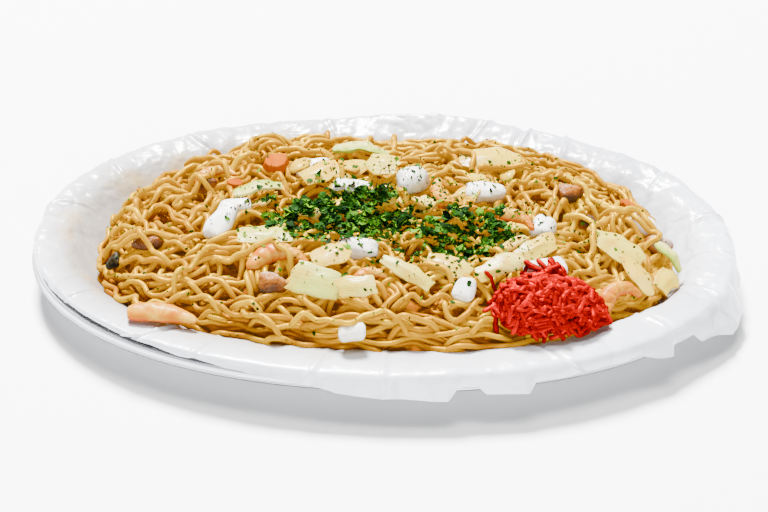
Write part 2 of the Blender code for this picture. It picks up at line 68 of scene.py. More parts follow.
class Wire:  # a socket that can be added, multiplied and so on
    def __init__(self, finish, socket):
        self.finish = finish
        self.socket = socket

    def math(self, other, operation, turned=False):
        first, second = (other, self) if turned else (self, other)
        return self.finish.add("ShaderNodeMath", {"operation": operation}, {0: first, 1: second})

    def __add__(self, other):
        return self.math(other, "ADD")

    def __radd__(self, other):
        return self.math(other, "ADD", True)

    def __sub__(self, other):
        return self.math(other, "SUBTRACT")

    def __rsub__(self, other):
        return self.math(other, "SUBTRACT", True)

    def __mul__(self, other):
        return self.math(other, "MULTIPLY")

    def __rmul__(self, other):
        return self.math(other, "MULTIPLY", True)

    def rise(self, low, high):  # 0 below low, 1 above high, smooth between
        values = {"Value": self, "From Min": low, "From Max": high}
        return self.finish.add("ShaderNodeMapRange", {"interpolation_type": "SMOOTHSTEP"}, values)


class Finish:  # one material, made node by node
    def __init__(self, name, **fixed):
        self.material = bpy.data.materials.new(name)
        self.material.use_nodes = True
        self.tree = self.material.node_tree
        self.shader = self.tree.nodes["Principled BSDF"]
        self.feed(**fixed)
        self.coords = self.add("ShaderNodeTexCoord", out="Object")

    def put(self, socket, value):
        if isinstance(value, Wire):
            self.tree.links.new(value.socket, socket)
        elif isinstance(value, tuple) and len(value) == 3 and socket.type == "RGBA":
            socket.default_value = (*value, 1.0)
        else:
            socket.default_value = value

    def feed(self, **values):  # sockets of the shader: Base_Color stands for "Base Color"
        for key, value in values.items():
            self.put(self.shader.inputs[key.replace("_", " ")], value)

    def add(self, kind, settings=None, values=None, out=0):
        made = self.tree.nodes.new(kind)
        for key, value in (settings or {}).items():
            if key == "stops":
                ramp = made.color_ramp
                while len(ramp.elements) < len(value):
                    ramp.elements.new(1.0)
                for element, (place, colour) in zip(ramp.elements, value):
                    element.position = place
                    element.color = (*colour, 1.0)
            else:
                setattr(made, key, value)
        for key, value in (values or {}).items():
            self.put(made.inputs[key], value)
        return Wire(self, made.outputs[out])

    def blotch(self, scale, detail=2.0, roughness=0.5, stretch=None, shift=0.0):
        where = self.coords
        if stretch or shift:
            values = {"Vector": where, "Scale": stretch or (1, 1, 1), "Location": (shift, shift, shift)}
            where = self.add("ShaderNodeMapping", None, values)
        values = {"Vector": where, "Scale": scale, "Detail": detail, "Roughness": roughness}
        return self.add("ShaderNodeTexNoise", None, values)

    def dots(self, scale):
        return self.add("ShaderNodeTexVoronoi", None, {"Vector": self.coords, "Scale": scale})

    def read(self, name):  # a number kept on the mesh
        return self.add("ShaderNodeAttribute", {"attribute_name": name}, None, "Fac")

    def mix(self, share, first, second):
        settings = {"data_type": "RGBA", "clamp_factor": True}
        return self.add("ShaderNodeMix", settings, {0: share, 6: first, 7: second}, 2)

    def ramp(self, share, *stops):
        return self.add("ShaderNodeValToRGB", {"stops": stops}, {0: share})

    def bumped(self, height, strength, distance):
        values = {"Height": height, "Strength": strength, "Distance": distance}
        self.feed(Normal=self.add("ShaderNodeBump", None, values))


def meshOf(name, points, faces, smooth=True):
    # points: n x 3 in metres; faces: arrays of n x 3 or n x 4 corner numbers
    mesh = bpy.data.meshes.new(name)
    mesh.vertices.add(len(points))
    mesh.vertices.foreach_set("co", np.asarray(points, np.float32).ravel())
    corners = np.concatenate([np.asarray(f).ravel() for f in faces])
    sizes = np.concatenate([np.full(len(f), f.shape[1]) for f in faces])
    mesh.loops.add(len(corners))
    mesh.loops.foreach_set("vertex_index", corners.astype(np.int32))
    mesh.polygons.add(len(sizes))
    starts = np.concatenate([[0], np.cumsum(sizes)[:-1]])
    mesh.polygons.foreach_set("loop_start", starts.astype(np.int32))
    mesh.polygons.foreach_set("use_smooth", np.full(len(sizes), smooth))
    mesh.update(calc_edges=True)
    mesh.validate()
    return mesh


def keep(mesh, name, numbers):  # keeps one number for each point of the mesh
    mesh.attributes.new(name, "FLOAT", "POINT").data.foreach_set("value", np.asarray(numbers, np.float32))


def dress(piece, finish, slotName, *standsFor):
    piece.data.materials.clear()
    piece.data.materials.append(finish.material)
    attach(piece, "root")
    if standsFor:
        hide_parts(*standsFor)
    return piece


def addPiece(name, mesh, finish, slotName, *standsFor):
    piece = bpy.data.objects.new(name, mesh)
    bpy.context.scene.collection.objects.link(piece)
    return dress(piece, finish, slotName, *standsFor)


# maps of heights over the table, all in mm
step = 0.6            # from one cell to the next
every = 4             # a coarse map has one in four cells
reach = (190.0, 132.0)
gridX = np.arange(-reach[0], reach[0] + step, step)
gridY = np.arange(-reach[1], reach[1] + step, step)


def treeOf(pieces):
    points, faces = [], []
    for piece in pieces:
        mesh = piece.data
        start = len(points)
        points += [v.co.copy() for v in mesh.vertices]
        faces += [[start + i for i in p.vertices] for p in mesh.polygons]
    return BVHTree.FromPolygons(points, faces)


def heightsOf(names, coarse=1, below=False):
    # what a ray from above, or from below, meets first; nan where nothing is met
    tree = treeOf([nodes[n] for n in names])
    low = [min(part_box(n)[0][k] for n in names) * 1000 for k in (0, 1)]
    high = [max(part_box(n)[1][k] for n in names) * 1000 for k in (0, 1)]
    xs, ys = gridX[::coarse], gridY[::coarse]
    found = np.full((len(xs), len(ys)), np.nan)
    start, way = (-1.0, Vector((0, 0, 1))) if below else (1.0, Vector((0, 0, -1)))
    for i in np.nonzero((xs >= low[0]) & (xs <= high[0]))[0]:
        for j in np.nonzero((ys >= low[1]) & (ys <= high[1]))[0]:
            hit = tree.ray_cast(Vector((xs[i] / 1000, ys[j] / 1000, start)), way)[0]
            if hit is not None:
                found[i, j] = hit.z * 1000
    return found


def spread(coarseMap, coarse):  # a coarse map on the fine grid
    xs, ys = gridX[::coarse], gridY[::coarse]
    across = np.array([np.interp(gridY, ys, row) for row in coarseMap])
    return np.array([np.interp(gridX, xs, column) for column in across.T]).T


def neighbours(values):  # the map shifted by one cell, each of the four ways
    return [np.roll(values, way, axis) for axis in (0, 1) for way in (1, -1)]


def fillHoles(heights, holes, rounds=300):
    filled = heights.copy()
    filled[holes] = np.nanmean(heights[~holes])
    for _ in range(rounds):
        filled[holes] = sum(neighbours(filled))[holes] / 4
    return filled


solidToppings = [n for n in nodes if n.rsplit("_", 1)[0] in
                 ("squid", "onion", "shrimp", "clam", "carrot", "cabbage", "mushroom")]
mounds = [n for n in nodes if n.startswith("chopped_greens") or n == "red_ginger"]

filmTop = heightsOf(["liner_film"], every)
noodleTop = heightsOf(["noodles"], every)
covered = ~np.isnan(heightsOf(solidToppings + mounds, every))
covered = covered | np.any(neighbours(covered), axis=0)
filmTop = np.where(np.isnan(filmTop), 20.0, filmTop)
inHeap = ~np.isnan(noodleTop)
heapTop = spread(fillHoles(np.where(inHeap, noodleTop, filmTop), covered & inHeap), every)
filmTop = spread(filmTop, every)
print("heights read")


def toeReach(direction):  # how far out the noodles end
    away = np.arange(60.0, 188.0, 0.5)
    i = np.rint((away * math.cos(direction) - gridX[0]) / (every * step)).astype(int)
    j = np.rint((away * math.sin(direction) - gridY[0]) / (every * step)).astype(int)
    within = (i < inHeap.shape[0]) & (j < inHeap.shape[1]) & (j >= 0)
    within[within] = inHeap[i[within], j[within]]
    return away[within].max()


edgeReach = [toeReach(math.radians(a + 0.5)) for a in range(360)]


def heapShare(x, y):  # 0 in the middle of the heap, 1 at its toe
    return math.hypot(x, y) / edgeReach[int(math.degrees(math.atan2(y, x))) % 360]


class Bed:  # heights that strands, shreds and flakes come to rest on
    def __init__(self, top):
        self.top = top.copy()
        self.stencils = {}

    def cells(self, x, y):
        i = np.clip(((x - gridX[0]) / step + 0.5).astype(int), 8, len(gridX) - 9)
        j = np.clip(((y - gridY[0]) / step + 0.5).astype(int), 8, len(gridY) - 9)
        return i, j

    def stencil(self, radius):  # the cells under a ball, and its rise in each
        key = round(radius, 2)
        if key not in self.stencils:
            k = int(radius / step) + 1
            di, dj = np.mgrid[-k:k + 1, -k:k + 1]
            away = np.hypot(di, dj) * step
            near = away < radius
            self.stencils[key] = (di[near], dj[near], np.sqrt(radius**2 - away[near] ** 2))
        return self.stencils[key]

    def at(self, x, y):
        return self.top[self.cells(x, y)]

    def rest(self, x, y, radius):  # how high a ball comes to lie
        i, j = self.cells(x, y)
        di, dj, cap = self.stencil(radius)
        return (self.top[i[:, None] + di, j[:, None] + dj] + cap).max(1)

    def settle(self, x, y, z, radius):  # the bed rises to the top of a ball
        i, j = self.cells(x, y)
        di, dj, cap = self.stencil(radius)
        np.maximum.at(self.top, (i[:, None] + di, j[:, None] + dj), z[:, None] + cap)


noodleLook = {  # lengths in mm
    "thick": 2.8,
    "pace": 1.6,          # from ring to ring
    "depth": 10.5,        # of loose strands over the core
    "bundles": 1150,
    "longest": 165.0,
    "shortest": 50.0,
    "tries": 8,
    "bendRadius": 4.4,
    "halves": (150, 95),  # the heap's half axes, for turning strands back before they leave it
    "highest": 59.6,
    "seed": 41,
    "rimShares": (0.982, 0.968, 0.954, 0.94, 0.925, 0.91),  # strands along the toe: 1 is its very edge
    "loops": 46,          # short ones that stand up out of the heap
    "over": 64,           # strands that lie over the toppings
    "toeDepths": (7.0, 4.2, 1.5),  # short ones under the heap's top close the toe right of the ginger
    "toeShares": (0.985, 0.972, 0.958, 0.944, 0.93, 0.915, 0.9, 0.885),
    "toeBearings": (-46, -4),
    "toeSeed": 7,
    "mostTriangles": 180000,  # in one piece
}
pace = noodleLook["pace"]
radius = noodleLook["thick"] / 2


def wave(rng, s, length):  # a sine along the path, from anywhere in its swing
    return np.sin(2 * np.pi * s / length + rng.uniform(0, 6.3))


def guide(rng, x, y, heading, length, slow, curl, edge, hook):
    # the plan of a bundle: slow bends, a quick wave, and it turns before it leaves the heap
    count = int(length / pace)
    s = np.arange(count) * pace
    slowWave = rng.uniform(45, 110)
    quickWave = rng.uniform(11, 25)
    bends = slow * wave(rng, s, slowWave)
    bends += 0.5 * slow * wave(rng, s, slowWave * 0.37)
    bends += hook * (s > length - rng.uniform(18, 34))
    waves = curl * wave(rng, s, quickWave)
    waves += 0.5 * curl * wave(rng, s, quickWave * 1.63)
    hand = rng.choice((-1.0, 1.0))
    places = np.empty((count, 2))
    for k in range(count):
        share = heapShare(x, y)
        turn = bends[k]
        if share > edge:  # it turns to the side that it already leans to
            out = math.atan2(y / noodleLook["halves"][1] ** 2, x / noodleLook["halves"][0] ** 2)
            off = math.atan2(math.sin(heading - out), math.cos(heading - out))
            if math.cos(off) > -0.15:
                hand = math.copysign(1.0, math.sin(off)) if abs(math.sin(off)) > 0.2 else hand
                turn += hand * (share - edge) * 2.3 * (math.cos(off) + 0.15)
        heading += turn * pace
        places[k] = x, y
        x += math.cos(heading + waves[k]) * pace
        y += math.sin(heading + waves[k]) * pace
    return places


def beside(places, offsets):  # the same path, shifted sideways
    along = np.gradient(places, axis=0)
    along /= np.maximum(np.hypot(along[:, 0], along[:, 1]), 1e-6)[:, None]
    return places + np.stack([-along[:, 1], along[:, 0]], 1) * offsets[:, None]


def evenly(places, gap):  # the same path with even steps
    steps = np.hypot(*np.diff(places, axis=0).T)
    s = np.concatenate([[0], np.cumsum(steps)])
    wanted = np.linspace(0, s[-1], max(int(s[-1] / gap), 3) + 1)
    return np.stack([np.interp(wanted, s, places[:, k]) for k in range(places.shape[1])], 1)


def smoothed(values, rounds):
    for _ in range(rounds):
        padded = np.concatenate([values[:1], values, values[-1:]])
        values = (padded[:-2] + 2 * padded[1:-1] + padded[2:]) / 4
    return values


def drape(bed, places, radius, ceiling, bend, squash=0.94):
    # how high a strand lies: on what is under it, no stiffer than it is
    x, y = places[:, 0], places[:, 1]
    z = bed.rest(x, y, radius * squash)
    s = np.arange(len(z)) * pace
    z = (z[None, :] - (s[:, None] - s[None, :]) ** 2 / (2 * bend)).max(1)
    if ceiling is not None:
        z = np.minimum(z, ceiling[bed.cells(x, y)] - radius)
    return smoothed(z, 2)


def lay(bed, places, radius, rng, ceiling, bend, dive=0.85, lift=0.0, above=4.2, proud=2.6):
    # a strand laid on the bed, or none if it would end up too high. dive: how often an end goes under;
    # lift: height of its arches; above: most that it may stand over the heap, and proud: that an arch may
    highest = noodleLook["highest"]
    z = drape(bed, places, radius, ceiling, bend)
    s = np.arange(len(z)) * pace
    cells = bed.cells(*places.T)
    if lift > 0:  # it arches up here and there
        rise = lift * np.clip(wave(rng, s, rng.uniform(15, 36)), 0, 1) ** 1.4
        top = np.minimum(np.minimum(ceiling[cells] - radius, highest - radius), heapTop[cells] + proud)
        z = smoothed(np.maximum(z, np.minimum(z + rise, top)), 2)
    if (z + radius - heapTop[cells]).max() > above or (z + radius).max() > highest:
        return None
    bed.settle(*places.T, z, radius)
    for far in (s, s[::-1]):  # from either end
        if rng.random() < dive:
            run, drop = rng.uniform(5, 9), rng.uniform(3.5, 6.5)
            z = z - drop * np.clip(1 - far / run, 0, 1) ** 1.5
    return np.column_stack([places, z])


def roomMap(overlap=1.6, opening=0.9, rounds=14, least=3.4):
    # how high strands may come: under a topping they stay below its underside, give or take the
    # overlap, and the limit opens steeply round it; over the film there is always room for one
    room = np.full(heapTop.shape, 900.0)
    for name in solidToppings:
        under = heightsOf([name], 1, below=True)
        inside = ~np.isnan(under)
        room[inside] = np.minimum(room[inside], under[inside] + overlap)
    for _ in range(rounds):
        for axis, way in ((0, 1), (0, -1), (1, 1), (1, -1)):
            room = np.minimum(room, np.roll(room, way, axis) + opening)
    return np.maximum(room, filmTop + least)


ceiling = roomMap()
print("room under the toppings read")

bed = Bed(np.maximum(filmTop + 0.5, heapTop - noodleLook["depth"]))
goal = np.minimum(heapTop, ceiling)
inside = np.array([[heapShare(x, y) < 0.95 for y in gridY[::every]] for x in gridX[::every]])
placeX, placeY = np.nonzero(spread(inside.astype(float), every) > 0.5)
smoothReach = np.array(edgeReach)
for _ in range(12):
    smoothReach = (np.roll(smoothReach, 1) + smoothReach + np.roll(smoothReach, -1)) / 3
strands = []          # each with its tone and its number of sides


def candidate(rng, length, slow, curl, edge, hook):
    # a start is drawn where the heap is still low; the mark says how well the path fills what is left
    spots = rng.integers(0, len(placeX), 24)
    want = goal[placeX[spots], placeY[spots]] - bed.top[placeX[spots], placeY[spots]]
    best = spots[np.argmax(want + rng.uniform(0, 2.0, len(spots)))]
    x, y = gridX[placeX[best]], gridY[placeY[best]]
    heading = rng.uniform(0, 2 * math.pi)
    half = guide(rng, x, y, heading, length / 2, slow, curl, edge, hook)
    other = guide(rng, x, y, heading + math.pi, length / 2, slow, curl, edge, -hook)
    places = np.concatenate([other[::-1], half[1:]])
    want = goal[bed.cells(*places.T)] - bed.at(*places.T)
    outside = max(0.0, max(heapShare(x, y) for x, y in places[::3]) - 0.97)
    return want.mean() - 0.35 * np.maximum(-want, 0).mean() - 60 * outside, places


def rimGuide(rng, direction, length, share):  # follows the toe of the heap
    places, a = [], direction
    swing, phase, drift = rng.uniform(14, 30), rng.uniform(0, 6.3), rng.uniform(-0.09, 0.0)
    turned = rng.random() < 0.5
    while len(places) < length / pace:
        s = len(places) * pace
        far = s / length if turned else 1 - s / length
        out = share + drift * far + 0.014 * math.sin(s * 6.28 / swing + phase)
        away = smoothReach[int(math.degrees(a)) % 360] * min(out, 0.985)
        places.append((away * math.cos(a), away * math.sin(a)))
        a += pace / away
    return np.array(places)


def layToe(look, rng):  # strands that follow the toe, all round
    for share in look["rimShares"]:
        a = rng.uniform(0, 1)
        while a < 6.9:
            length = rng.uniform(22, 75)
            lane = evenly(smoothed(rimGuide(rng, a, length, share + rng.uniform(-0.012, 0.008)), 2), pace)
            line = lay(bed, lane, radius, rng, None, look["bendRadius"], above=6.5)
            if line is not None:
                strands.append((line, rng.normal(0.45, 0.2), 6))
            a += (length - rng.uniform(0, 16)) / 130  # mm from the middle, more or less


def layBundle(look, rng, places, late, curly):  # one to four strands side by side
    count = int(rng.choice((1, 2, 3, 4), p=(0.6, 0.3, 0.1, 0.0) if curly else (0.30, 0.34, 0.24, 0.12)))
    pitch = look["thick"] * 1.03
    for k in range(count):
        s = np.arange(len(places)) * pace
        off = (k - (count - 1) / 2) * pitch
        off = off + rng.uniform(0.4, 1.9) * wave(rng, s, rng.uniform(16, 40))
        lane = beside(places, off)
        start, stop = int(rng.uniform(0, 9)), len(lane) - int(rng.uniform(0, 9))
        lane = evenly(lane[start:stop], pace)
        if len(lane) < 12:
            continue
        lift = rng.uniform(0.8, 3.4) if late > 0.3 and rng.random() < 0.55 else 0.0
        line = lay(bed, lane, radius, rng, ceiling, look["bendRadius"], lift=lift)
        if line is not None:
            strands.append((line, rng.normal(0.5, 0.2), 6 if late < 0.45 else 8))


def layHeap(look, rng):  # bundle on bundle, each the best of a few tries
    for n in range(look["bundles"]):
        late = n / look["bundles"]
        length = rng.uniform(look["shortest"], look["longest"])
        slow = rng.uniform(0.010, 0.055)
        curly = rng.random() < 0.22
        curl = rng.uniform(0.6, 0.95) if curly else rng.uniform(0.15, 0.6)
        hook = rng.choice((-1, 1)) / rng.uniform(7, 12) if rng.random() < 0.3 else 0.0
        options = [candidate(rng, length, slow, curl, rng.uniform(0.80, 0.90), hook)
                   for _ in range(look["tries"])]
        want, places = max(options, key=lambda option: option[0])
        if want >= 0.2:
            layBundle(look, rng, places, late, curly)
        if n % 200 == 0:
            print("bundle", n, "strands", len(strands))


def layLoops(look, rng):  # short ones, some with an arch that stands up out of the heap
    for n in range(look["loops"]):
        _, places = candidate(rng, rng.uniform(22, 44), 0.05, rng.uniform(0.2, 0.5), 0.9, 0.0)
        line = lay(bed, evenly(places, pace), radius, rng, ceiling, 3.2,
                   dive=1.0, lift=rng.uniform(4.0, 8.0), above=8.5, proud=6.5)
        if line is not None:
            strands.append((line, rng.normal(0.6, 0.2), 8))


def layOver(look, rng):  # a few start at a topping's edge and lie over it, clear of the mounds
    edgeX, edgeY = np.nonzero((toppingTop > 0) & (np.abs(np.roll(toppingTop, 4, 0) - toppingTop) > 100))
    kept = mounds + [n for n in solidToppings if n.startswith(("carrot", "mushroom"))]
    clear = spread((~np.isnan(heightsOf(kept, 2))).astype(float), 2) < 0.5
    for n in range(look["over"]):
        k = rng.integers(0, len(edgeX))
        length = rng.uniform(24, 60)
        x, y, heading = gridX[edgeX[k]], gridY[edgeY[k]], rng.uniform(0, 2 * math.pi)
        half = guide(rng, x, y, heading, length / 2, 0.04, rng.uniform(0.2, 0.6), 0.85, 0.0)
        other = guide(rng, x, y, heading + math.pi, length / 2, 0.04, rng.uniform(0.2, 0.6), 0.85, 0.0)
        lane = evenly(np.concatenate([other[::-1], half[1:]]), pace)
        cells = bed.cells(*lane.T)
        if not clear[cells].all() or (toppingTop[cells] > 0).mean() > 0.45:
            continue
        line = lay(bed, lane, radius, rng, None, 3.0, dive=1.0, above=13.0)
        if line is not None:
            strands.append((line, rng.normal(0.55, 0.2), 8))


def closeToe(look, rng):  # short strands at set depths, where the toe stands steep
    first, last = [math.radians(bearing) for bearing in look["toeBearings"]]
    for deep in look["toeDepths"]:
        for share in look["toeShares"]:
            a = first + math.radians(rng.uniform(0, 6))
            while a < last:
                length = rng.uniform(14, 34)
                lane = evenly(smoothed(rimGuide(rng, a, length, share + rng.uniform(-0.008, 0.006)), 2), pace)
                cells = bed.cells(*lane.T)
                z = np.minimum(heapTop[cells] - deep - rng.uniform(0, 1.2), ceiling[cells] - radius)
                z = smoothed(np.maximum(z, filmTop[cells] + radius), 2)
                strands.append((np.column_stack([lane, z]), rng.normal(0.5, 0.2), 6))
                a += (length - rng.uniform(0, 8)) / 140  # mm from the middle, more or less


rng = np.random.default_rng(noodleLook["seed"])
layToe(noodleLook, rng)
layHeap(noodleLook, rng)
layLoops(noodleLook, rng)
toppingTop = heightsOf(solidToppings, 2)
toppingTop = spread(np.where(np.isnan(toppingTop), -900.0, toppingTop), 2)
bed.top = np.maximum(bed.top, toppingTop)
layOver(noodleLook, rng)
closeToe(noodleLook, np.random.default_rng(noodleLook["toeSeed"]))
print("noodles:", len(strands), "strands,", round(sum(len(run[0]) for run in strands) * pace / 1000, 1), "m")


def ringShape(sides, square):  # a ring between a circle, at 2, and a square
    a = np.arange(sides) * 2 * np.pi / sides
    size = (np.abs(np.cos(a)) ** square + np.abs(np.sin(a)) ** square) ** (-1 / square)
    return np.cos(a) * size, np.sin(a) * size


def tubes(name, runs, radius, finish, slotName, standsFor, seed, square=2.5, flat=1.0, twist=0.05):
    # one mesh of many strands, each closed at both ends; flat widens them, twist is in radians a mm
    rng = np.random.default_rng(seed)
    points, quads, fans, tones = [], [], [], []
    first = 0
    for places, tone, sides in runs:
        n = len(places)
        along = np.gradient(places, axis=0)
        along /= np.linalg.norm(along, axis=1)[:, None]
        up = np.array([0, 0, 1.0]) - along * along[:, 2:3]
        up /= np.maximum(np.linalg.norm(up, axis=1), 1e-6)[:, None]
        side = np.cross(along, up)
        turn = rng.uniform(0, 6.3) + rng.uniform(-twist, twist) * pace * np.arange(n)
        a, b = ringShape(sides, square)
        c, d = np.cos(turn)[:, None], np.sin(turn)[:, None]
        u, v = a * c - b * d, a * d + b * c
        size = radius * (1 + 0.05 * np.sin(np.arange(n) * rng.uniform(0.08, 0.3) + rng.uniform(0, 6)))
        size = size * rng.uniform(0.92, 1.07)
        size[[0, -1]] *= 0.72  # blunt ends
        ring = places[:, None, :] + size[:, None, None] * (
            u[:, :, None] * flat * side[:, None, :] + v[:, :, None] * up[:, None, :])
        points.append(ring.reshape(-1, 3))
        k = np.arange(n * sides).reshape(n, sides)
        nextSide = np.roll(k, -1, 1)
        quads.append(np.stack([k[:-1], nextSide[:-1], nextSide[1:], k[1:]], -1).reshape(-1, 4) + first)
        tips = np.array([places[0] - along[0] * 0.3, places[-1] + along[-1] * 0.3])
        points.append(tips)
        low, high = first + n * sides, first + n * sides + 1
        fans.append(np.stack([np.full(sides, low), nextSide[0] + first, k[0] + first], -1))
        fans.append(np.stack([np.full(sides, high), k[-1] + first, nextSide[-1] + first], -1))
        wander = tone + 0.10 * np.sin(np.arange(n) * 0.13 + rng.uniform(0, 6))
        tones.append(np.append(np.repeat(wander, sides), [tone, tone]))
        first += n * sides + 2
    points = np.concatenate(points)
    mesh = meshOf(name, points * 0.001, [np.concatenate(quads), np.concatenate(fans)])
    keep(mesh, "tone", np.concatenate(tones))
    keep(mesh, "deep", (heapTop[bed.cells(points[:, 0], points[:, 1])] - points[:, 2]) / 7.0)
    return addPiece(name, mesh, finish, slotName, *standsFor)


# painted glow: the emission here lights the noodles from within, no lamp
noodleFinish = Finish("glossyNoodle", Roughness=0.36, Metallic=0.24, Specular_IOR_Level=0.0,
                      Specular_Tint=(1.0, 0.8, 0.3), Emission_Strength=0.36)
f = noodleFinish
tone = f.read("tone") + (f.blotch(140, 2) - 0.5) * 0.5 + (f.blotch(16, 1) - 0.5) * 0.5
colour = f.ramp(tone, (0.0, (0.20, 0.078, 0.0)), (0.4, (0.275, 0.132, 0.0)), (1.0, (0.38, 0.235, 0.0)))
colour = f.mix(f.read("deep").rise(0.05, 1.0) * 0.75, colour, (0.19, 0.05, 0.0))  # painted shade: strands lower in the heap darker and more orange
specks = (1 - f.dots(250).rise(0.14, 0.20)) * f.blotch(60, 1).rise(0.48, 0.56)
colour = f.mix(specks * 0.85, colour, (0.04, 0.03, 0.004))
glow = f.mix(f.read("deep").rise(0.0, 0.8), (1.0, 0.43, 0.0), (0.26, 0.06, 0.0))  # painted glow: orange emission, strongest at the heap's top, lifts the shade between strands
f.feed(Base_Color=colour, Emission_Color=glow)
f.bumped(f.blotch(900, 2), 0.25, 0.0003)

batches, size = [[]], 0
for run in strands:
    triangles = len(run[0]) * run[2] * 2
    if size + triangles > noodleLook["mostTriangles"]:
        batches.append([])
        size = 0
    batches[-1].append(run)
    size += triangles
for k, batch in enumerate(batches, 1):
    tubes(f"noodleStrands{k}", batch, radius, noodleFinish, "noodle", ("noodles",), seed=k)
print("noodle pieces:", len(batches))

# painted shade: the core is as dark as the gaps deep in the heap, with a faint painted glow of orange
# emission
coreFinish = Finish("soakedCore", Roughness=0.8, Specular_IOR_Level=0.0,
                    Emission_Color=(1.0, 0.36, 0.0), Emission_Strength=0.06)
f = coreFinish
f.feed(Base_Color=f.ramp(f.blotch(220, 3), (0.3, (0.13, 0.032, 0.0)), (0.7, (0.22, 0.066, 0.0))))


def heapCore(look, finish):  # a core painted dark as shade closes the gaps between the strands
    xs, ys = gridX[::3], gridY[::3]
    level = np.maximum(heapTop - look["depth"] - 0.6, filmTop + 0.2)[::3, ::3]
    within = np.array([[heapShare(x, y) < 0.975 for y in ys] for x in xs])
    number = -np.ones(within.shape, int)
    number[within] = np.arange(within.sum())
    i, j = np.nonzero(within)
    top = np.column_stack([xs[i], ys[j], level[i, j]]) * 0.001
    cell = within[:-1, :-1] & within[1:, :-1] & within[1:, 1:] & within[:-1, 1:]
    a, b = np.nonzero(cell)
    faces = np.stack([number[a, b], number[a + 1, b], number[a + 1, b + 1], number[a, b + 1]], -1)
    mesh = meshOf("noodleCore", top, [faces])
    return addPiece("noodleCore", mesh, finish, "noodle", "noodles")


heapCore(noodleLook, coreFinish)

filmLook = {  # lengths in mm, bearings in degrees
    "around": 960,        # points in a ring
    "gauge": 1.75,        # from the platter's underside to the film's upper side
    "crinkle": 0.9,
    "wrinklesFrom": 1.6,  # rings: the foot is flat, pleats start on the slope, the free edge is ragged
    "pleatsFrom": 2.4,
    "raggedFrom": 6.2,
    "pleats": (  # bearing, height
        (-148, 0.9), (-127, 1.3), (-116, 0.7), (-97, 0.8), (-88, 0.7), (-61, 0.9), (-38, 0.8), (-20, 1.0),
        (12, 0.9), (33, 0.8), (58, 1.2), (66, 1.5), (74, 0.9), (101, 0.7), (128, 0.9), (149, 0.8),
        (171, 0.8)),
    "skirt": (  # how the free edge hangs: bearing, drop, flare
        (-180, 0.6, 0.2), (-170, 0.0, 0.0), (-114, 0.0, 0.0), (-101, 1.6, 0.3), (-88, 4.2, 0.7),
        (-79.4, 5.6, 1.2), (-77.9, 0.2, 0.0), (-75.0, 0.2, 0.0), (-73.9, 3.6, 0.8), (-70, 3.7, 1.2),
        (-67.4, 4.4, 2.4), (-66.0, 0.7, 0.3), (-52, 0.2, 0.0), (-46, 0.6, 0.4), (-43.6, 2.8, 1.6),
        (-39.8, 4.6, 3.0), (-39.0, 1.0, 1.0), (-33.0, 1.0, 1.2), (-31.6, 5.5, 2.2), (-27, 7.5, 3.4),
        (-22.5, 12.0, 4.8), (-16, 9.5, 4.4), (-11.2, 5.0, 2.4), (-4, 0.8, 0.6), (20, 0.0, 0.0),
        (50, 1.6, 0.4), (62, 3.2, 0.7), (73, 0.8, 0.2), (90, 0.0, 0.0), (140, 0.4, 0.0),
        (152, 2.2, 0.6), (163, 2.6, 0.6), (166, 0.4, 0.2), (180, 0.6, 0.2)),
    "bare": (216, 50),    # where the platter's own edge shows: bearing, half angle
}
platterProfile = (  # how far in from the rim, how high: foot, well, slope, shoulder, crest, brow, lip, roll
    (50.0, 0.0), (42.0, 1.5), (31.0, 9.0), (20.5, 19.5), (14.5, 23.6), (5.0, 25.2), (2.6, 23.8), (2.0, 18.8))
rolledEdge = (  # in place of brow, lip and roll, with fine grooves
    (9.0, 24.6), (6.4, 25.15), (5.7, 24.6), (4.9, 25.1), (4.1, 24.9), (3.3, 24.1), (2.9, 23.2), (2.3, 22.6),
    (2.5, 21.7), (1.9, 21.1), (2.1, 20.2), (1.5, 19.5), (1.7, 18.8), (0.6, 18.1))
halfLong, halfWide, squareness = 182.0, 126.0, 2.15


def oval(angle, inset):
    c, s = np.cos(angle), np.sin(angle)
    x = (halfLong - inset) * np.sign(c) * np.abs(c) ** (2 / squareness)
    y = (halfWide - inset) * np.sign(s) * np.abs(s) ** (2 / squareness)
    return x, y


def degreesOff(angle, bearing):  # from -180 to 180
    turn = angle - math.radians(bearing)
    return np.degrees(np.arctan2(np.sin(turn), np.cos(turn)))


def bump(angle, centre, half, steep=2.0):  # 1 at the centre, 0 at half degrees to either side
    off = degreesOff(angle, centre)
    return np.cos(np.clip(np.abs(off) / half, 0, 1) * np.pi / 2) ** steep


def squareOff(profile, distance):  # the profile moved off its own line, towards the food
    moved = []
    for k, here in enumerate(profile):
        normals = []
        for p, q in ((profile[max(k - 1, 0)], here), (here, profile[min(k + 1, len(profile) - 1)])):
            along = Vector((p[0] - q[0], q[1] - p[1]))
            if along.length > 0:
                normals.append(Vector((-along.y, along.x)).normalized())
        middle = sum(normals, Vector((0, 0))).normalized()
        size = distance / max(middle.dot(normals[0]), 0.5)
        moved.append((here[0] - middle.x * size, here[1] + middle.y * size))
    return moved


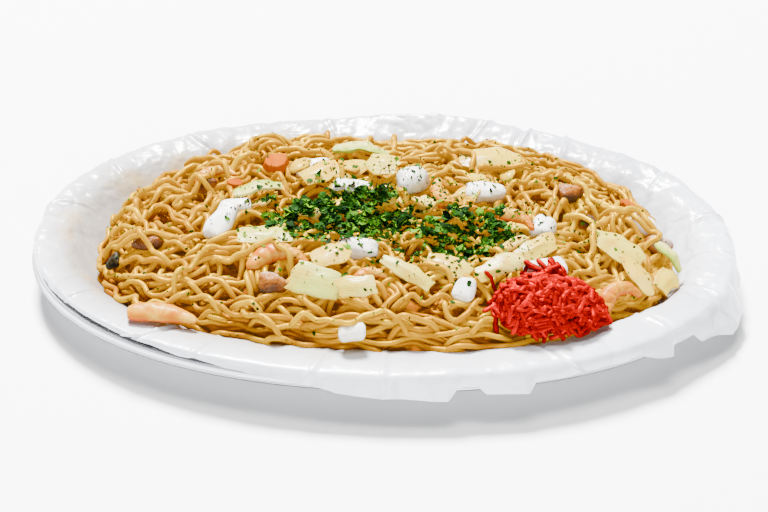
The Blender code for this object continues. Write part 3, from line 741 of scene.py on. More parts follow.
def filmRings(angle, look):
    front = bump(angle, -90, 92)  # the film lies fuller in front
    lift = 4.5 * bump(angle, 82, 22)  # stands up a little at the back
    tuck = bump(angle, -42, 24)  # and is pushed in at the right
    foot, well, slope, shoulder, crest, brow, lip = squareOff(platterProfile, look["gauge"])[:7]
    bearings, drops, flares = np.array(look["skirt"]).T
    drop, flare = [np.interp(degreesOff(angle, 0), bearings, values) for values in (drops, flares)]
    end = 21.0 - drop
    past = np.minimum(1, drop / 0.8)
    rows = [
        (foot[0], foot[1]),
        (well[0], well[1]),
        (slope[0] + 0.4, slope[1] + 0.5 + 2.2 * front),
        (shoulder[0] + 0.5 + 2.2 * front + 3.0 * tuck, shoulder[1] + 0.5 + 3.4 * front),
        (crest[0] + 1.6 * front + 5.0 * tuck, crest[1] + 0.4 + 1.4 * front),
        (brow[0], brow[1] + 0.3 + lift),
        (lip[0] - 0.35 * flare - 0.2 * past, lip[1] + 0.4 * lift),
        (lip[0] - (0.16 + 0.20 * past) * (lip[1] - end) - flare, end),
    ]
    rings = np.array([[np.broadcast_to(v, angle.shape) for v in row] for row in rows], float)
    bare = bump(angle, *look["bare"], 0.5)
    for k, back in ((6, 0.50), (7, 0.84)):  # the edge stops short there
        rings[k] += (rings[k - 1] - rings[k]) * back * bare
    return rings


def throughRings(rings, counts):  # Catmull-Rom from ring to ring
    full = np.concatenate([rings[:1], rings, rings[-1:]])
    rows, place = [], []
    for k, count in enumerate(counts):
        p0, p1, p2, p3 = full[k:k + 4]
        for i in range(count + (k == len(counts) - 1)):
            t = i / count
            rows.append(0.5 * (2 * p1 + (p2 - p0) * t + (2 * p0 - 5 * p1 + 4 * p2 - p3) * t * t
                               + (3 * p1 - p0 - 3 * p2 + p3) * t**3))
            place.append(k + t)
    return np.array(rows), np.array(place)


def normalsOf(grid):
    down = np.gradient(grid, axis=0)
    along = np.roll(grid, -1, 1) - np.roll(grid, 1, 1)
    normal = np.cross(down, along)
    normal /= np.linalg.norm(normal, axis=2)[:, :, None]
    return normal * np.sign(normal[len(normal) // 3, :, 2].mean())


def crease(p, size):  # sharp folds with soft faces between them
    return noise.turbulence(p / size, 3, True, noise_basis="PERLIN_ORIGINAL", amplitude_scale=0.5,
                            frequency_scale=2.1)


def dishMesh(name, grid):  # rings of points in mm from the foot outwards, closed by a fan in the middle
    count, around = grid.shape[:2]
    number = np.arange(count * around).reshape(count, around)
    after = np.roll(number, -1, 1)
    quads = np.stack([number[:-1], number[1:], after[1:], after[:-1]], -1).reshape(-1, 4)
    fan = np.stack([np.full(around, count * around), number[0], after[0]], -1)
    points = np.concatenate([grid.reshape(-1, 3), [[0, 0, grid[0, :, 2].mean()]]]) * 0.001
    return meshOf(name, points, [quads, fan])


def makeFilm(look, finish):
    angle = np.arange(look["around"]) * 2 * np.pi / look["around"]
    rows, place = throughRings(filmRings(angle, look), (3, 9, 12, 12, 12, 6, 8))
    x, y = oval(angle[None, :], rows[:, 0])
    grid = np.stack([x, y, rows[:, 1]], -1)
    normal = normalsOf(grid)
    front = bump(angle, -92, 75, 0.8)
    calm = 1 - 0.72 * front
    push = np.zeros(grid.shape[:2])
    for i in np.nonzero(place >= look["wrinklesFrom"])[0]:
        over = min(1.0, place[i] - look["wrinklesFrom"])
        for j in range(grid.shape[1]):
            p = Vector(grid[i, j])
            broad = noise.noise(p / 21.0) * 0.9 + noise.noise(p / 9.0 + Vector((7, 3, 1))) * 0.4
            sharp = crease(p, 15.0) - 0.55
            push[i, j] = over * (broad * (0.35 + 0.45 * calm[j]) + 1.5 * sharp * look["crinkle"] * calm[j])
    for centre, height in look["pleats"]:
        lean = 1.6 * np.sin(centre)  # each leans a little, one way or the other
        for i in range(grid.shape[0]):
            off = degreesOff(angle, centre) - lean * (place[i] - 5.0)
            level = np.clip((place[i] - look["pleatsFrom"]) / 1.5, 0, 1)
            ridge, hollow = np.exp(-(off / 0.35) ** 2), np.exp(-((off - 1.0) / 0.8) ** 2)
            push[i] += height * level * (ridge - 0.55 * hollow)
    grid = grid + normal * push[:, :, None]
    ragged = np.array([noise.noise(Vector((math.cos(a) * 14, math.sin(a) * 14, 2.0))) for a in angle])
    for i in np.nonzero(place > look["raggedFrom"])[0]:
        share = (place[i] - look["raggedFrom"]) / 0.8
        grid[i, :, 2] += share * (0.7 * ragged + 0.35 * np.sin(angle * 37 + 2 * ragged))
    mesh = dishMesh("filmLiner", grid)
    keep(mesh, "ring", np.append(np.repeat(place, len(angle)), 0.0))
    keep(mesh, "lively", np.append(np.tile(calm, len(place)), 0.5))
    piece = addPiece("filmLiner", mesh, finish, "film", "liner_film")
    return piece


def makePlatter(finish, around=288):
    profile = platterProfile[:5] + rolledEdge
    angle = np.arange(around) * 2 * np.pi / around
    grid = np.array([np.stack([*oval(angle, inset), np.full(around, z)], -1) for inset, z in profile])
    mesh = dishMesh("platterShell", grid)
    keep(mesh, "inset", np.append(np.repeat([inset for inset, _ in profile], around), 90.0))
    piece = addPiece("platterShell", mesh, finish, "steel", "platter")
    finishModifier(piece, "SOLIDIFY", thickness=0.0009, offset=1.0, use_even_offset=True)
    return piece


def finishModifier(piece, kind, **settings):
    bpy.ops.object.select_all(action="DESELECT")
    bpy.context.view_layer.objects.active = piece
    piece.select_set(True)
    modifier = piece.modifiers.new(kind.title(), kind)
    for key, value in settings.items():
        setattr(modifier, key, value)
    bpy.ops.object.modifier_apply(modifier=modifier.name)


steelFinish = Finish("brushedSteel", Metallic=1.0)
f = steelFinish
streaks = f.blotch(60, 3, 0.6, stretch=(1, 1, 14))
inset = f.read("inset")
# painted shade: dark lines in the fine grooves of the rolled edge
grooves = f.add("ShaderNodeMath", {"operation": "SINE"}, {0: inset * 8.5}) * (1 - inset.rise(6.0, 8.0))
shade = f.ramp(streaks, (0.3, (0.40, 0.41, 0.44)), (0.7, (0.60, 0.61, 0.64)))
shade = f.mix(grooves.rise(0.45, 0.95) * 0.85, shade, (0.05, 0.052, 0.06))
# painted shade: the lowest band of the lip nearly black, as its shaded underside
f.feed(Base_Color=f.mix(1 - inset.rise(0.6, 1.3), shade, (0.03, 0.03, 0.035)), Roughness=streaks * 0.2 + 0.16)
makePlatter(steelFinish)

filmFinish = Finish("thinFilm", Roughness=0.27, Specular_IOR_Level=0.55)
f = filmFinish
ring, lively = f.read("ring"), f.read("lively")
toRight = f.add("ShaderNodeSeparateXYZ", None, {0: f.coords}, 0)
near = (1 - ring.rise(3.0, 5.6)) * (1 - toRight.rise(-0.04, 0.12) * 0.85)  # near the food, least at the right; it places painted shade and sauce
warped = f.add("ShaderNodeTexNoise", None, {"Vector": f.coords, "Scale": 30, "Detail": 2}, 1)
where = f.add("ShaderNodeVectorMath", {"operation": "MULTIPLY_ADD"},
              {0: warped, 1: (0.03, 0.03, 0.03), 2: f.coords})


def folds(scale):  # flat facets, each with a shade of its own, and the folds between them
    values = {"Vector": where, "Scale": scale}
    shades = f.add("ShaderNodeTexVoronoi", {"feature": "F1"}, values, 1)
    edges = f.add("ShaderNodeTexVoronoi", {"feature": "DISTANCE_TO_EDGE"}, values)
    return f.add("ShaderNodeSeparateColor", None, {0: shades}), edges


broadShade, broadEdge = folds(19)
fineShade, fineEdge = folds(44)
# painted shade: each facet of the crinkled film its own grey, calmer in front
facets = (broadShade * 0.55 + fineShade * 0.45) * (lively * 0.8 + 0.2)
shade = f.mix(facets, (0.66, 0.68, 0.74), (0.42, 0.43, 0.47))
# painted shade: the film darker towards the back
toBack = f.add("ShaderNodeSeparateXYZ", None, {0: f.coords}, 1)
shade = f.mix(toBack.rise(0.02, 0.10) * 0.4, shade, (0.34, 0.35, 0.39))
# painted shade: darker lines along the broad folds
lines = (1 - broadEdge.rise(0.0, 0.03)) * 0.45 * lively
shade = f.mix(lines, shade, (0.26, 0.27, 0.31))
# painted shade, warm grey, on the film's slope next to the food
shade = f.mix(near * 0.85, shade, (0.23, 0.196, 0.155))
shade = f.mix(f.blotch(45, 3).rise(0.50, 0.75) * near * 0.6, shade, (0.42, 0.28, 0.08))  # sauce
f.feed(Base_Color=shade)
edges = broadEdge.rise(0.0, 0.25) + fineEdge.rise(0.0, 0.3) * 0.5
f.bumped(edges * lively + f.blotch(190, 4, 0.65) * 0.3, 0.5, 0.0014)
makeFilm(filmLook, filmFinish)
print("film and platter made")


def copied(node, name, levels, firm):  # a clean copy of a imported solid, with quads, subdivided
    bpy.ops.object.select_all(action="DESELECT")
    piece = bpy.data.objects.new(name, nodes[node].data.copy())
    piece.data.name = name
    bpy.context.scene.collection.objects.link(piece)
    bpy.context.view_layer.objects.active = piece
    piece.select_set(True)
    bpy.ops.object.mode_set(mode="EDIT")
    bpy.ops.mesh.select_all(action="SELECT")
    bpy.ops.mesh.remove_doubles(threshold=0.00002)
    bpy.ops.mesh.tris_convert_to_quads(face_threshold=0.9, shape_threshold=1.2)
    bpy.ops.object.mode_set(mode="OBJECT")
    for layer in [a.name for a in piece.data.attributes if a.name.startswith(("custom", "sharp"))]:
        piece.data.attributes.remove(piece.data.attributes[layer])
    shape = bmesh.new()
    shape.from_mesh(piece.data)
    crisp = shape.edges.layers.float.new("crease_edge")
    for edge in shape.edges:
        if len(edge.link_faces) == 2:
            edge[crisp] = firm * min(1.0, edge.calc_face_angle() / 0.8)
    shape.to_mesh(piece.data)
    shape.free()
    finishModifier(piece, "SUBSURF", levels=levels, render_levels=levels)
    piece.data.shade_smooth()
    return piece


def axesOf(points):  # middle, then the long, wide and thin directions of a shape
    middle = points.mean(0)
    _, _, axes = np.linalg.svd(points - middle, full_matrices=False)
    return middle, axes


def grain(points, size, seed=0.0):
    shift = Vector((seed, seed * 0.7, 3.1))
    return np.array([noise.noise(Vector(p) / size + shift) for p in points])


def carved(points, layers):  # how far to move along the normal, in mm
    cut = 0
    for height, size, seed, ridged in layers:
        bumps = grain(points, size, seed)
        cut = cut + height * (np.abs(bumps) if ridged else bumps)
    return cut


def shrimpRings(flat):  # in mm, along the long and wide directions
    # a circle fitted to the curl by least squares gives where each ring is, and the outer side
    x, y = flat[:, 0], flat[:, 1]
    a = np.column_stack([2 * x, 2 * y, np.ones(len(x))])
    cx, cy, _ = np.linalg.lstsq(a, x * x + y * y, rcond=None)[0]
    turn = np.arctan2(y - cy, x - cx)
    centre = math.atan2(np.sin(turn).mean(), np.cos(turn).mean())
    turn = np.arctan2(np.sin(turn - centre), np.cos(turn - centre))
    arc = (turn - turn.min()) / (turn.max() - turn.min())
    rings = np.abs(np.sin(arc * np.pi * 6.0))
    back = np.hypot(x - cx, y - cy)
    curled = 1.0 if back.min() > 0.15 * back.max() else 0.0
    back = (back - back.min()) / (back.max() - back.min())
    return -0.55 * curled * (1 - rings) ** 3, {"arc": arc, "back": back}


foodLook = {
    "highest": 60.1,      # mm over the table
    "rougher": {"squid_02": 1.9},  # carved that much deeper than its kind
    "tints": {"onion_01": 1.0, "onion_13": 0.8},  # the green ones; the others have a little of it
}


def shapeFood(look, node, kind, levels, firm, warp, layers, finish):
    piece = copied(node, node.replace("_", "") + "Food", levels, firm)
    if kind == "squid":  # cooked squid is smooth, its cut edges soft
        finishModifier(piece, "SMOOTH", factor=0.5, iterations=20)
    mesh = piece.data
    points = np.array([v.co for v in mesh.vertices])
    normals = np.array([v.normal for v in mesh.vertices])
    middle, axes = axesOf(points)
    flat = (points - middle) @ axes.T
    local = flat / np.abs(flat).max(0)
    numbers = {"along": local[:, 0], "across": local[:, 1]}
    moved = carved(points * 1000, layers) * look["rougher"].get(node, 1.0)
    if kind == "shrimp":
        rings, more = shrimpRings(flat * 1000)
        moved = moved + rings
        numbers.update(more)
    points = points + normals * moved[:, None] * 0.001
    if kind == "onion":  # a petal: thin, thinner still towards its outline
        rim = np.clip(local[:, 0] ** 2 + local[:, 1] ** 2, 0, 1.4)
        points = points - axes[2] * (((points - middle) @ axes[2]) * (0.22 + 0.34 * rim))[:, None]
    for k in (0, 1):  # the outline wanders, as a hand-cut slice's does
        points = points + axes[k] * (grain(points * 1000, 8.0, 9.0 + k) * warp * 0.001)[:, None]
    points[:, 2] = np.minimum(points[:, 2], look["highest"] * 0.001)
    mesh.vertices.foreach_set("co", points.astype(np.float32).ravel())
    mesh.update()
    tint = look["tints"].get(node, (int(node[-2:]) * 0.37) % 1 * 0.5)
    numbers.update(tint=np.full(len(points), tint), low=np.clip(0.3 - normals[:, 2], 0, 1))
    for key, values in numbers.items():
        keep(mesh, key, values)
    return dress(piece, finish, kind, node)


squidFinish = Finish("cookedSquid", Roughness=0.33, Subsurface_Weight=0.2, Subsurface_Scale=0.004,
                     Specular_IOR_Level=0.25)
f = squidFinish
f.feed(Base_Color=f.ramp(f.blotch(90, 3), (0.3, (0.46, 0.41, 0.26)), (0.5, (0.68, 0.66, 0.57)),
                         (0.7, (0.78, 0.78, 0.75))))
f.bumped(f.blotch(700, 2), 0.2, 0.0003)

# painted glow: a faint yellow emission, no lamp, stands in for light through the petals
onionFinish = Finish("friedOnion", Roughness=0.24, Subsurface_Weight=0.3, Subsurface_Scale=0.004,
                     Specular_IOR_Level=0.16, Emission_Color=(1.0, 0.62, 0.05), Emission_Strength=0.09)
f = onionFinish
lengthwise = f.add("ShaderNodeCombineXYZ", None, {0: f.read("across") * 0.6, 1: f.read("along") * 0.05})
veins = f.add("ShaderNodeTexWave", {"wave_type": "BANDS", "bands_direction": "X"},
              {"Vector": lengthwise, "Scale": 2.2, "Distortion": 1.5, "Detail": 2.0})
body = f.mix(f.read("tint"), (0.46, 0.29, 0.008), (0.36, 0.39, 0.055))
body = f.mix(veins * 0.12, body, (0.46, 0.42, 0.14))
body = f.mix(f.blotch(26, 2).rise(0.48, 0.66) * 0.7, body, (0.50, 0.44, 0.12))
body = f.mix(f.blotch(60, 2, shift=3.0).rise(0.50, 0.72) * 0.75, body, (0.40, 0.19, 0.002))
rim = f.read("along") * f.read("along") + f.read("across") * f.read("across")
body = f.mix(rim.rise(0.5, 1.5) * f.blotch(33, 2, shift=8.0).rise(0.35, 0.6) * 0.7, body, (0.30, 0.17, 0.006))
f.feed(Base_Color=body)
f.bumped(veins * 0.3 + f.blotch(260, 3), 0.25, 0.0005)

# painted glow: faint orange emission, no lamp
shrimpFinish = Finish("cookedShrimp", Roughness=0.3, Specular_IOR_Level=0.12, Specular_Tint=(1.0, 0.8, 0.5),
                      Emission_Color=(1.0, 0.30, 0.0), Emission_Strength=0.10)
f = shrimpFinish
arc = f.read("arc")
bands = f.add("ShaderNodeMath", {"operation": "SINE"}, {0: arc * 37.7})
red = (bands * 0.5 + 0.5) * 0.15 + f.blotch(85, 3) * 1.5 + f.read("back") * 0.3 - 0.62
pink = f.ramp(red, (0.1, (0.48, 0.27, 0.02)), (0.4, (0.38, 0.135, 0.0)), (0.8, (0.32, 0.035, 0.0)))
f.feed(Base_Color=f.mix(f.read("low") * 0.95, pink, (0.34, 0.010, 0.0)))
f.bumped(f.blotch(420, 3), 0.25, 0.0004)

clamFinish = Finish("cookedClam", Roughness=0.36, Subsurface_Weight=0.15, Subsurface_Scale=0.002,
                    Specular_IOR_Level=0.08)
f = clamFinish
frill = f.read("across") * 0.5 + f.blotch(190, 3) * 0.9
f.feed(Base_Color=f.ramp(frill, (0.1, (0.32, 0.22, 0.15)), (0.3, (0.24, 0.085, 0.012)),
                         (0.6, (0.13, 0.036, 0.003)), (0.95, (0.05, 0.025, 0.012))))
f.bumped(f.blotch(500, 3), 0.4, 0.0005)

# painted glow: orange emission, no lamp, brightens the carrot
carrotFinish = Finish("cookedCarrot", Roughness=0.4, Specular_IOR_Level=0.0, Emission_Color=(1.0, 0.17, 0.0),
                      Emission_Strength=0.22)
f = carrotFinish
f.feed(Base_Color=f.ramp(f.blotch(160, 3), (0.3, (0.22, 0.040, 0.0)), (0.7, (0.30, 0.072, 0.0))))
f.bumped(f.blotch(500, 3), 0.3, 0.0004)

cabbageFinish = Finish("friedCabbage", Roughness=0.32, Subsurface_Weight=0.1, Subsurface_Scale=0.002,
                       Specular_IOR_Level=0.12)
f = cabbageFinish
frill = f.read("across") * 0.5 + f.blotch(90, 3)
f.feed(Base_Color=f.ramp(frill, (0.35, (0.44, 0.40, 0.09)), (0.85, (0.24, 0.30, 0.02))))
f.bumped(f.blotch(300, 3), 0.3, 0.0005)

mushroomFinish = Finish("blackMushroom", Roughness=0.4, Specular_IOR_Level=0.06)
f = mushroomFinish
f.feed(Base_Color=f.ramp(f.blotch(250, 3), (0.3, (0.002, 0.0015, 0.0005)), (0.7, (0.020, 0.012, 0.002))))
f.bumped(f.blotch(350, 3), 0.5, 0.0006)

smooth = ((0.6, 9.0, 0.0, False), (0.16, 4.5, 4.0, False), (0.06, 1.8, 6.0, False))
frilly = ((0.8, 4.6, 0.0, False), (0.6, 2.2, 5.0, True))
kinds = {
    # subdivision levels, how firmly edges are kept, wander of the outline in mm,
    # layers of grain (height and size in mm, seed, ridged), finish
    "squid": (3, 0.85, 1.1, smooth, squidFinish),
    "onion": (3, 0.9, 2.4, ((0.35, 6.0, 0.0, False), (0.15, 2.2, 2.0, False)), onionFinish),
    "shrimp": (3, 0.0, 0.5, ((0.45, 4.5, 0.0, False), (0.15, 1.8, 3.0, False)), shrimpFinish),
    "clam": (3, 0.0, 1.0, frilly, clamFinish),
    "carrot": (3, 0.6, 0.8, ((0.35, 5.0, 0.0, False), (0.1, 1.6, 3.0, False)), carrotFinish),
    "cabbage": (3, 0.4, 2.0, ((0.7, 6.0, 0.0, False), (0.3, 2.6, 4.0, False)), cabbageFinish),
    "mushroom": (2, 0.0, 1.0, frilly, mushroomFinish),
}
for node in solidToppings:
    kind = node.rsplit("_", 1)[0]
    shapeFood(foodLook, node, kind, *kinds[kind])
print("toppings made:", len(solidToppings))


def laidTree(*more):  # the strands and the toppings, for what falls on them
    found = [o for o in bpy.data.objects if o.name.startswith("noodleStrands") or o.name.endswith("Food")
             or o.name in more]
    return treeOf(found)


gingerLook = {  # lengths in mm
    "count": 560,
    "thick": 1.3,
    "pace": 1.2,          # from ring to ring
    "longest": 14.0,
    "shortest": 5.0,
    "depth": 2.4,         # of shreds over the bed
    "fallen": 110,        # shreds around the mound
    "highest": 59.0,
    "seed": 8,
}


def gingerBed(look, finish):  # the mound itself, drawn in to leave room for the shreds
    bed = copied("red_ginger", "gingerBed", 1, 0.0)
    points = np.array([v.co for v in bed.data.vertices])
    normals = np.array([v.normal for v in bed.data.vertices])
    inner = points - normals * look["depth"] * 0.001
    bed.data.vertices.foreach_set("co", inner.astype(np.float32).ravel())
    bed.data.update()
    keep(bed.data, "tone", np.full(len(points), 0.0))
    return dress(bed, finish, "ginger", "red_ginger")


def moundShreds(look, rng):  # wrapped over the mound, some with an end standing off
    mound = nodes["red_ginger"].data
    tree = treeOf([nodes["red_ginger"]])
    faces = [p for p in mound.polygons if p.normal.z > -0.1]
    sizes = np.array([p.area for p in faces])
    runs = []
    for n in range(look["count"]):
        face = faces[rng.choice(len(faces), p=sizes / sizes.sum())]
        corners = [mound.vertices[k].co for k in face.vertices]
        shares = rng.dirichlet(np.ones(len(corners)))
        start = sum((c * w for c, w in zip(corners, shares)), Vector())
        side = face.normal.orthogonal().normalized()
        way = Matrix.Rotation(rng.uniform(0, 6.28), 3, face.normal) @ side
        turned = face.normal.cross(way)
        length = rng.uniform(look["shortest"], look["longest"])
        count = int(length / look["pace"]) + 3
        off = -look["depth"] + 0.4 + (look["depth"] + 0.3) * (n / look["count"]) ** 0.7
        bow = rng.normal(0, 0.05)
        tail = rng.uniform(-0.6, 3.0) if n % 4 else rng.uniform(3.5, 8.0)
        places = []
        for k in range(count):
            s = (k - count / 2) * look["pace"]
            bent = start + (way * s + turned * (bow * s * s * 0.5 + 0.4 * math.sin(s * 0.7 + n))) * 0.001
            place, normal, _, _ = tree.find_nearest(bent)
            rise = off + tail * max(0.0, k / count - 0.6) ** 1.3 * 2
            places.append((place + normal * rise * 0.001) * 1000)
        line = smoothed(np.array(places), 2)
        line[:, 2] = np.minimum(line[:, 2], look["highest"])
        runs.append((line, rng.normal(0.5, 0.25), 6))
    return runs


def fallenShreds(look, rng, thick):  # loose ones around the mound, most of them at its back
    low, high = [np.array(corner) * 1000 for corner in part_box("red_ginger")]
    middle, half = (low + high) / 2, (high - low) / 2
    under = laidTree("gingerBed")
    runs = []
    for n in range(look["fallen"]):
        a = rng.uniform(0, 6.28) if n % 3 else rng.normal(1.45, 0.22)
        away = rng.uniform(0.9, 1.10) if n % 3 else rng.uniform(0.75, 1.16)
        x, y = middle[0] + half[0] * away * math.cos(a), middle[1] + half[1] * away * math.sin(a)
        heading, length, bow = rng.uniform(0, 6.28), rng.uniform(5.0, 10.0), rng.normal(0, 0.08)
        if heapShare(x, y) > 0.93:
            continue
        places = []
        for k in range(int(length / look["pace"]) + 2):
            hit = under.ray_cast(Vector((x, y, 200)) * 0.001, Vector((0, 0, -1)))[0]
            places.append((x, y, (hit.z * 1000 if hit else middle[2]) + thick))
            x, y = x + look["pace"] * math.cos(heading), y + look["pace"] * math.sin(heading)
            heading += bow
        line = np.array(places)
        line[:, 2] = np.maximum(smoothed(line[:, 2:], 3)[:, 0], line[:, 2] - 0.8)
        runs.append((line, rng.normal(0.5, 0.25), 6))
    return runs


def makeGinger(look, finish):
    rng = np.random.default_rng(look["seed"])
    thick = look["thick"] / 2 + 0.3
    gingerBed(look, finish)
    runs = moundShreds(look, rng) + fallenShreds(look, rng, thick)
    print("ginger shreds:", len(runs))
    return tubes("gingerShreds", runs, thick, finish, "ginger", ("red_ginger",),
                 seed=3, square=3.2, flat=1.35, twist=0.12)


gingerFinish = Finish("pickledGinger", Roughness=0.34, Metallic=0.2, Specular_IOR_Level=0.0,
                      Specular_Tint=(1.0, 0.3, 0.2))
f = gingerFinish
tone = f.read("tone") + (f.blotch(200, 2) - 0.5) * 0.9
f.feed(Base_Color=f.ramp(tone, (0.1, (0.10, 0.0, 0.0)), (0.6, (0.25, 0.0, 0.0)), (0.95, (0.40, 0.0, 0.0))))
f.bumped(f.blotch(800, 3), 0.3, 0.0003)
makeGinger(gingerLook, gingerFinish)
print("ginger made")

flakeLimit = (900.0, 900.0, 60.6)  # mm: the heap's top, and no limit sideways


def flakeMesh(name, places, finish, slotName, standsFor=(), smooth=False):
    # each flake is a thin bent leaf: two faces with the outline's corners and a rim between them
    points, fans, rims, tones = [], [], [], []
    for n, (x, y, z, (long, wide, bent, thick), turned, tone, outline) in enumerate(places):
        corners = len(outline)
        a = np.arange(corners) * 2 * np.pi / corners
        flat = np.stack([np.cos(a) * outline * long, np.sin(a) * outline * wide], 1)
        bend = bent * (flat[:, 0] / long) ** 2 * long
        top = np.column_stack([flat, bend + thick])
        low = np.column_stack([flat * 0.94, bend - thick])
        local = np.concatenate([top, low, [[0, 0, thick], [0, 0, -thick]]])
        points.append(np.minimum(local @ turned + (x, y, z), flakeLimit))
        first = n * (2 * corners + 2)
        k = np.arange(corners)
        after = (k + 1) % corners
        fans.append(np.stack([np.full(corners, 2 * corners), k, after], -1) + first)
        fans.append(np.stack([np.full(corners, 2 * corners + 1), after + corners, k + corners], -1) + first)
        rims.append(np.stack([k, k + corners, after + corners, after], -1) + first)
        tones.append(np.full(2 * corners + 2, tone))
    faces = [np.concatenate(fans), np.concatenate(rims)]
    mesh = meshOf(name, np.concatenate(points) * 0.001, faces, smooth)
    keep(mesh, "tone", np.concatenate(tones))
    return addPiece(name, mesh, finish, slotName, *standsFor)


def facing(normal, rng, tilt):
    lean = Vector(rng.normal(0, tilt, 3)) + Vector(normal)
    lean.normalize()
    turn = Matrix.Rotation(rng.uniform(0, 6.28), 3, lean)
    side = turn @ lean.orthogonal().normalized()
    return np.array([side, lean.cross(side), lean])


scrapsLook = {  # lengths in mm
    "patches": (  # middle, spread and number
        ((-8, -10), (50, 24), 74), ((30, 22), (56, 18), 10), ((-20, 30), (60, 16), 6),
        ((55, -30), (18, 14), 10)),
    "corners": 18,
    "highest": 54.5,      # none lands above this
    "seed": 31,
}


def makeScraps(look, finish):  # thin bits of onion and leaf among the noodles
    rng = np.random.default_rng(look["seed"])
    under = laidTree()
    made = []
    a = np.arange(look["corners"]) * 2 * np.pi / look["corners"]
    for centre, wide, count in look["patches"]:
        for n in range(count):
            x, y = np.array(centre) + rng.normal(0, 0.55, 2) * wide
            hit, normal, _, _ = under.ray_cast(Vector((x, y, 200)) * 0.001, Vector((0, 0, -1)))
            if hit is None or heapShare(x, y) > 0.9 or hit.z * 1000 > look["highest"]:
                continue
            if toppingTop[bed.cells(np.array([x]), np.array([y]))][0] > 0 and rng.random() < 0.7:
                continue
            sides = rng.integers(3, 6)  # a rounded triangle, square or pentagon
            turn = (a * sides + rng.uniform(0, 6)) % (2 * np.pi) / sides
            outline = np.minimum(1 / np.maximum(np.cos(turn - np.pi / sides), 0.3), 1.5)
            outline = smoothed(outline[:, None], 1)[:, 0] * rng.uniform(0.9, 1.1, look["corners"])
            sizes = (rng.uniform(3.0, 9.0), rng.uniform(2.2, 5.2), rng.uniform(-0.25, 0.15),
                     rng.uniform(0.5, 0.9))
            level = (normal + Vector((0, 0, 2))).normalized()
            made.append((x, y, hit.z * 1000 + 0.4, sizes, facing(level, rng, 0.22), 0.5, outline))
    return flakeMesh("onionScraps", made, finish, "onion", smooth=True)


greensLook = {
    "mound": 6500,        # flakes drawn for the drifts; bare patches lose some
    "loose": 3600,
    "middles": ((-18, -14), (46, -28), (5, -25), (40, -5), (0, 0)),  # mm, where the loose ones are thicker
    "highest": 58.9,      # mm
    "seed": 12,
}


def makeGreens(look, finish):
    rng = np.random.default_rng(look["seed"])
    under = laidTree("onionScraps")
    mound = heightsOf([n for n in mounds if n != "red_ginger"])
    inside = ~np.isnan(mound)
    i, j = np.nonzero(inside)
    depth = np.clip(mound - heapTop, 0, None)
    pile = np.zeros(mound.shape)
    drift, loose = [], []

    def drop(x, y, onPile, size, tilt):
        hit, normal, _, _ = under.ray_cast(Vector((x, y, 200)) * 0.001, Vector((0, 0, -1)))
        if hit is None:
            return None
        a, b = int(round((x - gridX[0]) / step)), int(round((y - gridY[0]) / step))
        z = min(hit.z * 1000 + (pile[a, b] if onPile else 0) + 0.25, look["highest"])
        if onPile:
            pile[a - 1:a + 2, b - 1:b + 2] += 0.17 * size
            normal = Vector((0, 0, 1))
        outline = rng.uniform(0.6, 1.25, 6)
        sizes = (size * rng.uniform(0.8, 1.3), size * rng.uniform(0.45, 0.9), rng.uniform(-0.5, 0.5), 0.11)
        return (x, y, z, sizes, facing(normal, rng, tilt), rng.normal(0.5, 0.25), outline)

    def bareness(x, y):  # the drift is ragged
        return 1.6 * noise.noise(Vector((x / 9.0, y / 7.0, 4.0))) + 0.15

    weight = np.maximum(depth[i, j], 0.2) ** 0.5
    weight = weight / weight.sum()
    for k in rng.choice(len(i), look["mound"], p=weight):
        wide = rng.random() < 0.35
        x = gridX[i[k]] + rng.normal(0, 2.2 + 4.5 * wide)
        y = gridY[j[k]] + rng.normal(0, 2.2 + 7.0 * wide) - 4.0 * wide
        if bareness(x, y) > rng.uniform(0.0, 0.7):
            continue
        size = rng.choice((0.9, 1.6, 2.8), p=(0.3, 0.4, 0.3)) * rng.uniform(0.85, 1.2)
        made = drop(x, y, True, size, 0.5)
        if made:
            drift.append(made)
    middles = np.array(look["middles"])
    for k in range(look["loose"]):
        if rng.random() < 0.6:
            x, y = middles[rng.integers(0, 5)] + rng.normal(0, 1, 2) * (34, 22)
        else:
            x, y = rng.uniform(-150, 150), rng.uniform(-112, 92)
        if heapShare(x, y) > 0.97:
            continue
        size = rng.choice((0.4, 0.75, 1.3), p=(0.45, 0.35, 0.2)) * rng.uniform(0.8, 1.2)
        made = drop(x, y, False, size, 0.25)
        if made:
            loose.append(made)
    flakeMesh("chopDrift", drift, finish, "greens", ("chopped_greens_01", "chopped_greens_02"))
    flakeMesh("chopLoose", loose, finish, "greens")


greensFinish = Finish("choppedGreens", Roughness=0.55, Specular_IOR_Level=0.06, Specular_Tint=(0.4, 1.0, 0.3))
f = greensFinish
tone = f.read("tone") + (f.blotch(500, 2) - 0.5) * 0.5
f.feed(Base_Color=f.ramp(tone, (0.2, (0.001, 0.006, 0.0006)), (0.6, (0.006, 0.036, 0.001)),
                         (1.0, (0.09, 0.21, 0.003))))
makeScraps(scrapsLook, onionFinish)
makeGreens(greensLook, greensFinish)
print("greens made")

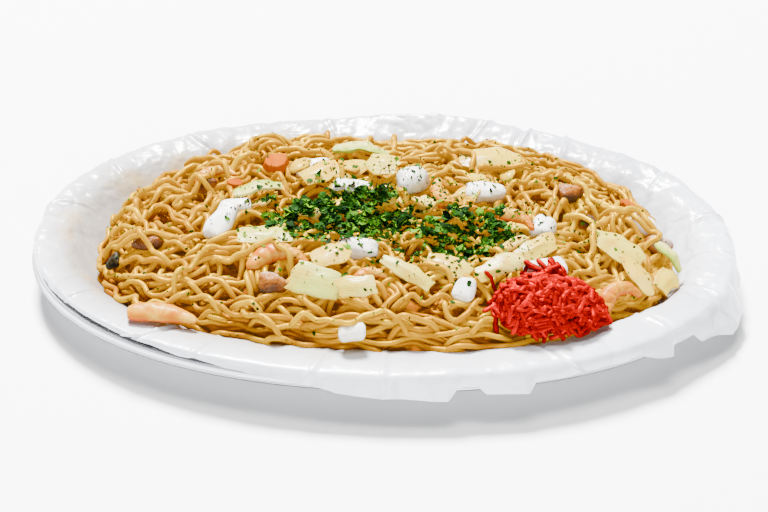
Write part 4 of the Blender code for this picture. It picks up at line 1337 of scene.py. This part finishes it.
cameraView = {  # metres and degrees
    "aim": (0.0012, -0.0075, 0.026),
    "away": 1.0,
    "azimuth": 3.35,
    "elevation": 32.5,
    "lens": 90.75,        # mm
    "shiftX": 0.00065,
    "shiftY": -0.0182,
}


def setCamera(view):
    lens = bpy.data.cameras.new("camera")
    lens.lens = view["lens"]
    lens.shift_x, lens.shift_y = view["shiftX"], view["shiftY"]
    camera = bpy.data.objects.new("camera", lens)
    bpy.context.scene.collection.objects.link(camera)
    a, e = math.radians(view["azimuth"]), math.radians(view["elevation"])
    back = Vector((math.sin(a) * math.cos(e), -math.cos(a) * math.cos(e), math.sin(e)))
    camera.location = Vector(view["aim"]) + back * view["away"]
    camera.rotation_euler = (-back).to_track_quat("-Z", "Y").to_euler()
    bpy.context.scene.camera = camera


setCamera(cameraView)

studio = {
    "floor": (0.97, 0.97, 0.975),
    "world": 0.16,
    "lamps": (("key", (-0.5, 1.35, 2.7), 0.9, 880.0), ("fill", (0.5, -2.7, 0.75), 1.6, 110.0),
              ("top", (0.1, -0.1, 3.0), 1.2, 95.0)),  # place and width in metres, watts
}


def setStudio(look):
    bpy.ops.object.select_all(action="DESELECT")
    bpy.ops.mesh.primitive_plane_add(size=12.0, location=(0, 0, -0.0002))
    floor = bpy.context.object
    floor.name = "floor"
    finish = Finish("paleFloor", Roughness=0.9, Base_Color=look["floor"])
    floor.data.materials.append(finish.material)
    world = bpy.data.worlds.new("studio")
    world.use_nodes = True
    bpy.context.scene.world = world
    background = world.node_tree.nodes["Background"].inputs
    background["Color"].default_value = (1, 1, 1, 1)
    background["Strength"].default_value = look["world"]
    for name, place, size, power in look["lamps"]:
        light = bpy.data.lights.new(name, "AREA")
        light.shape = "DISK"
        light.size = size
        light.energy = power
        lamp = bpy.data.objects.new(name, light)
        bpy.context.scene.collection.objects.link(lamp)
        lamp.location = place
        lamp.rotation_euler = (Vector((0, 0, 0.02)) - Vector(place)).to_track_quat("-Z", "Y").to_euler()


setStudio(studio)
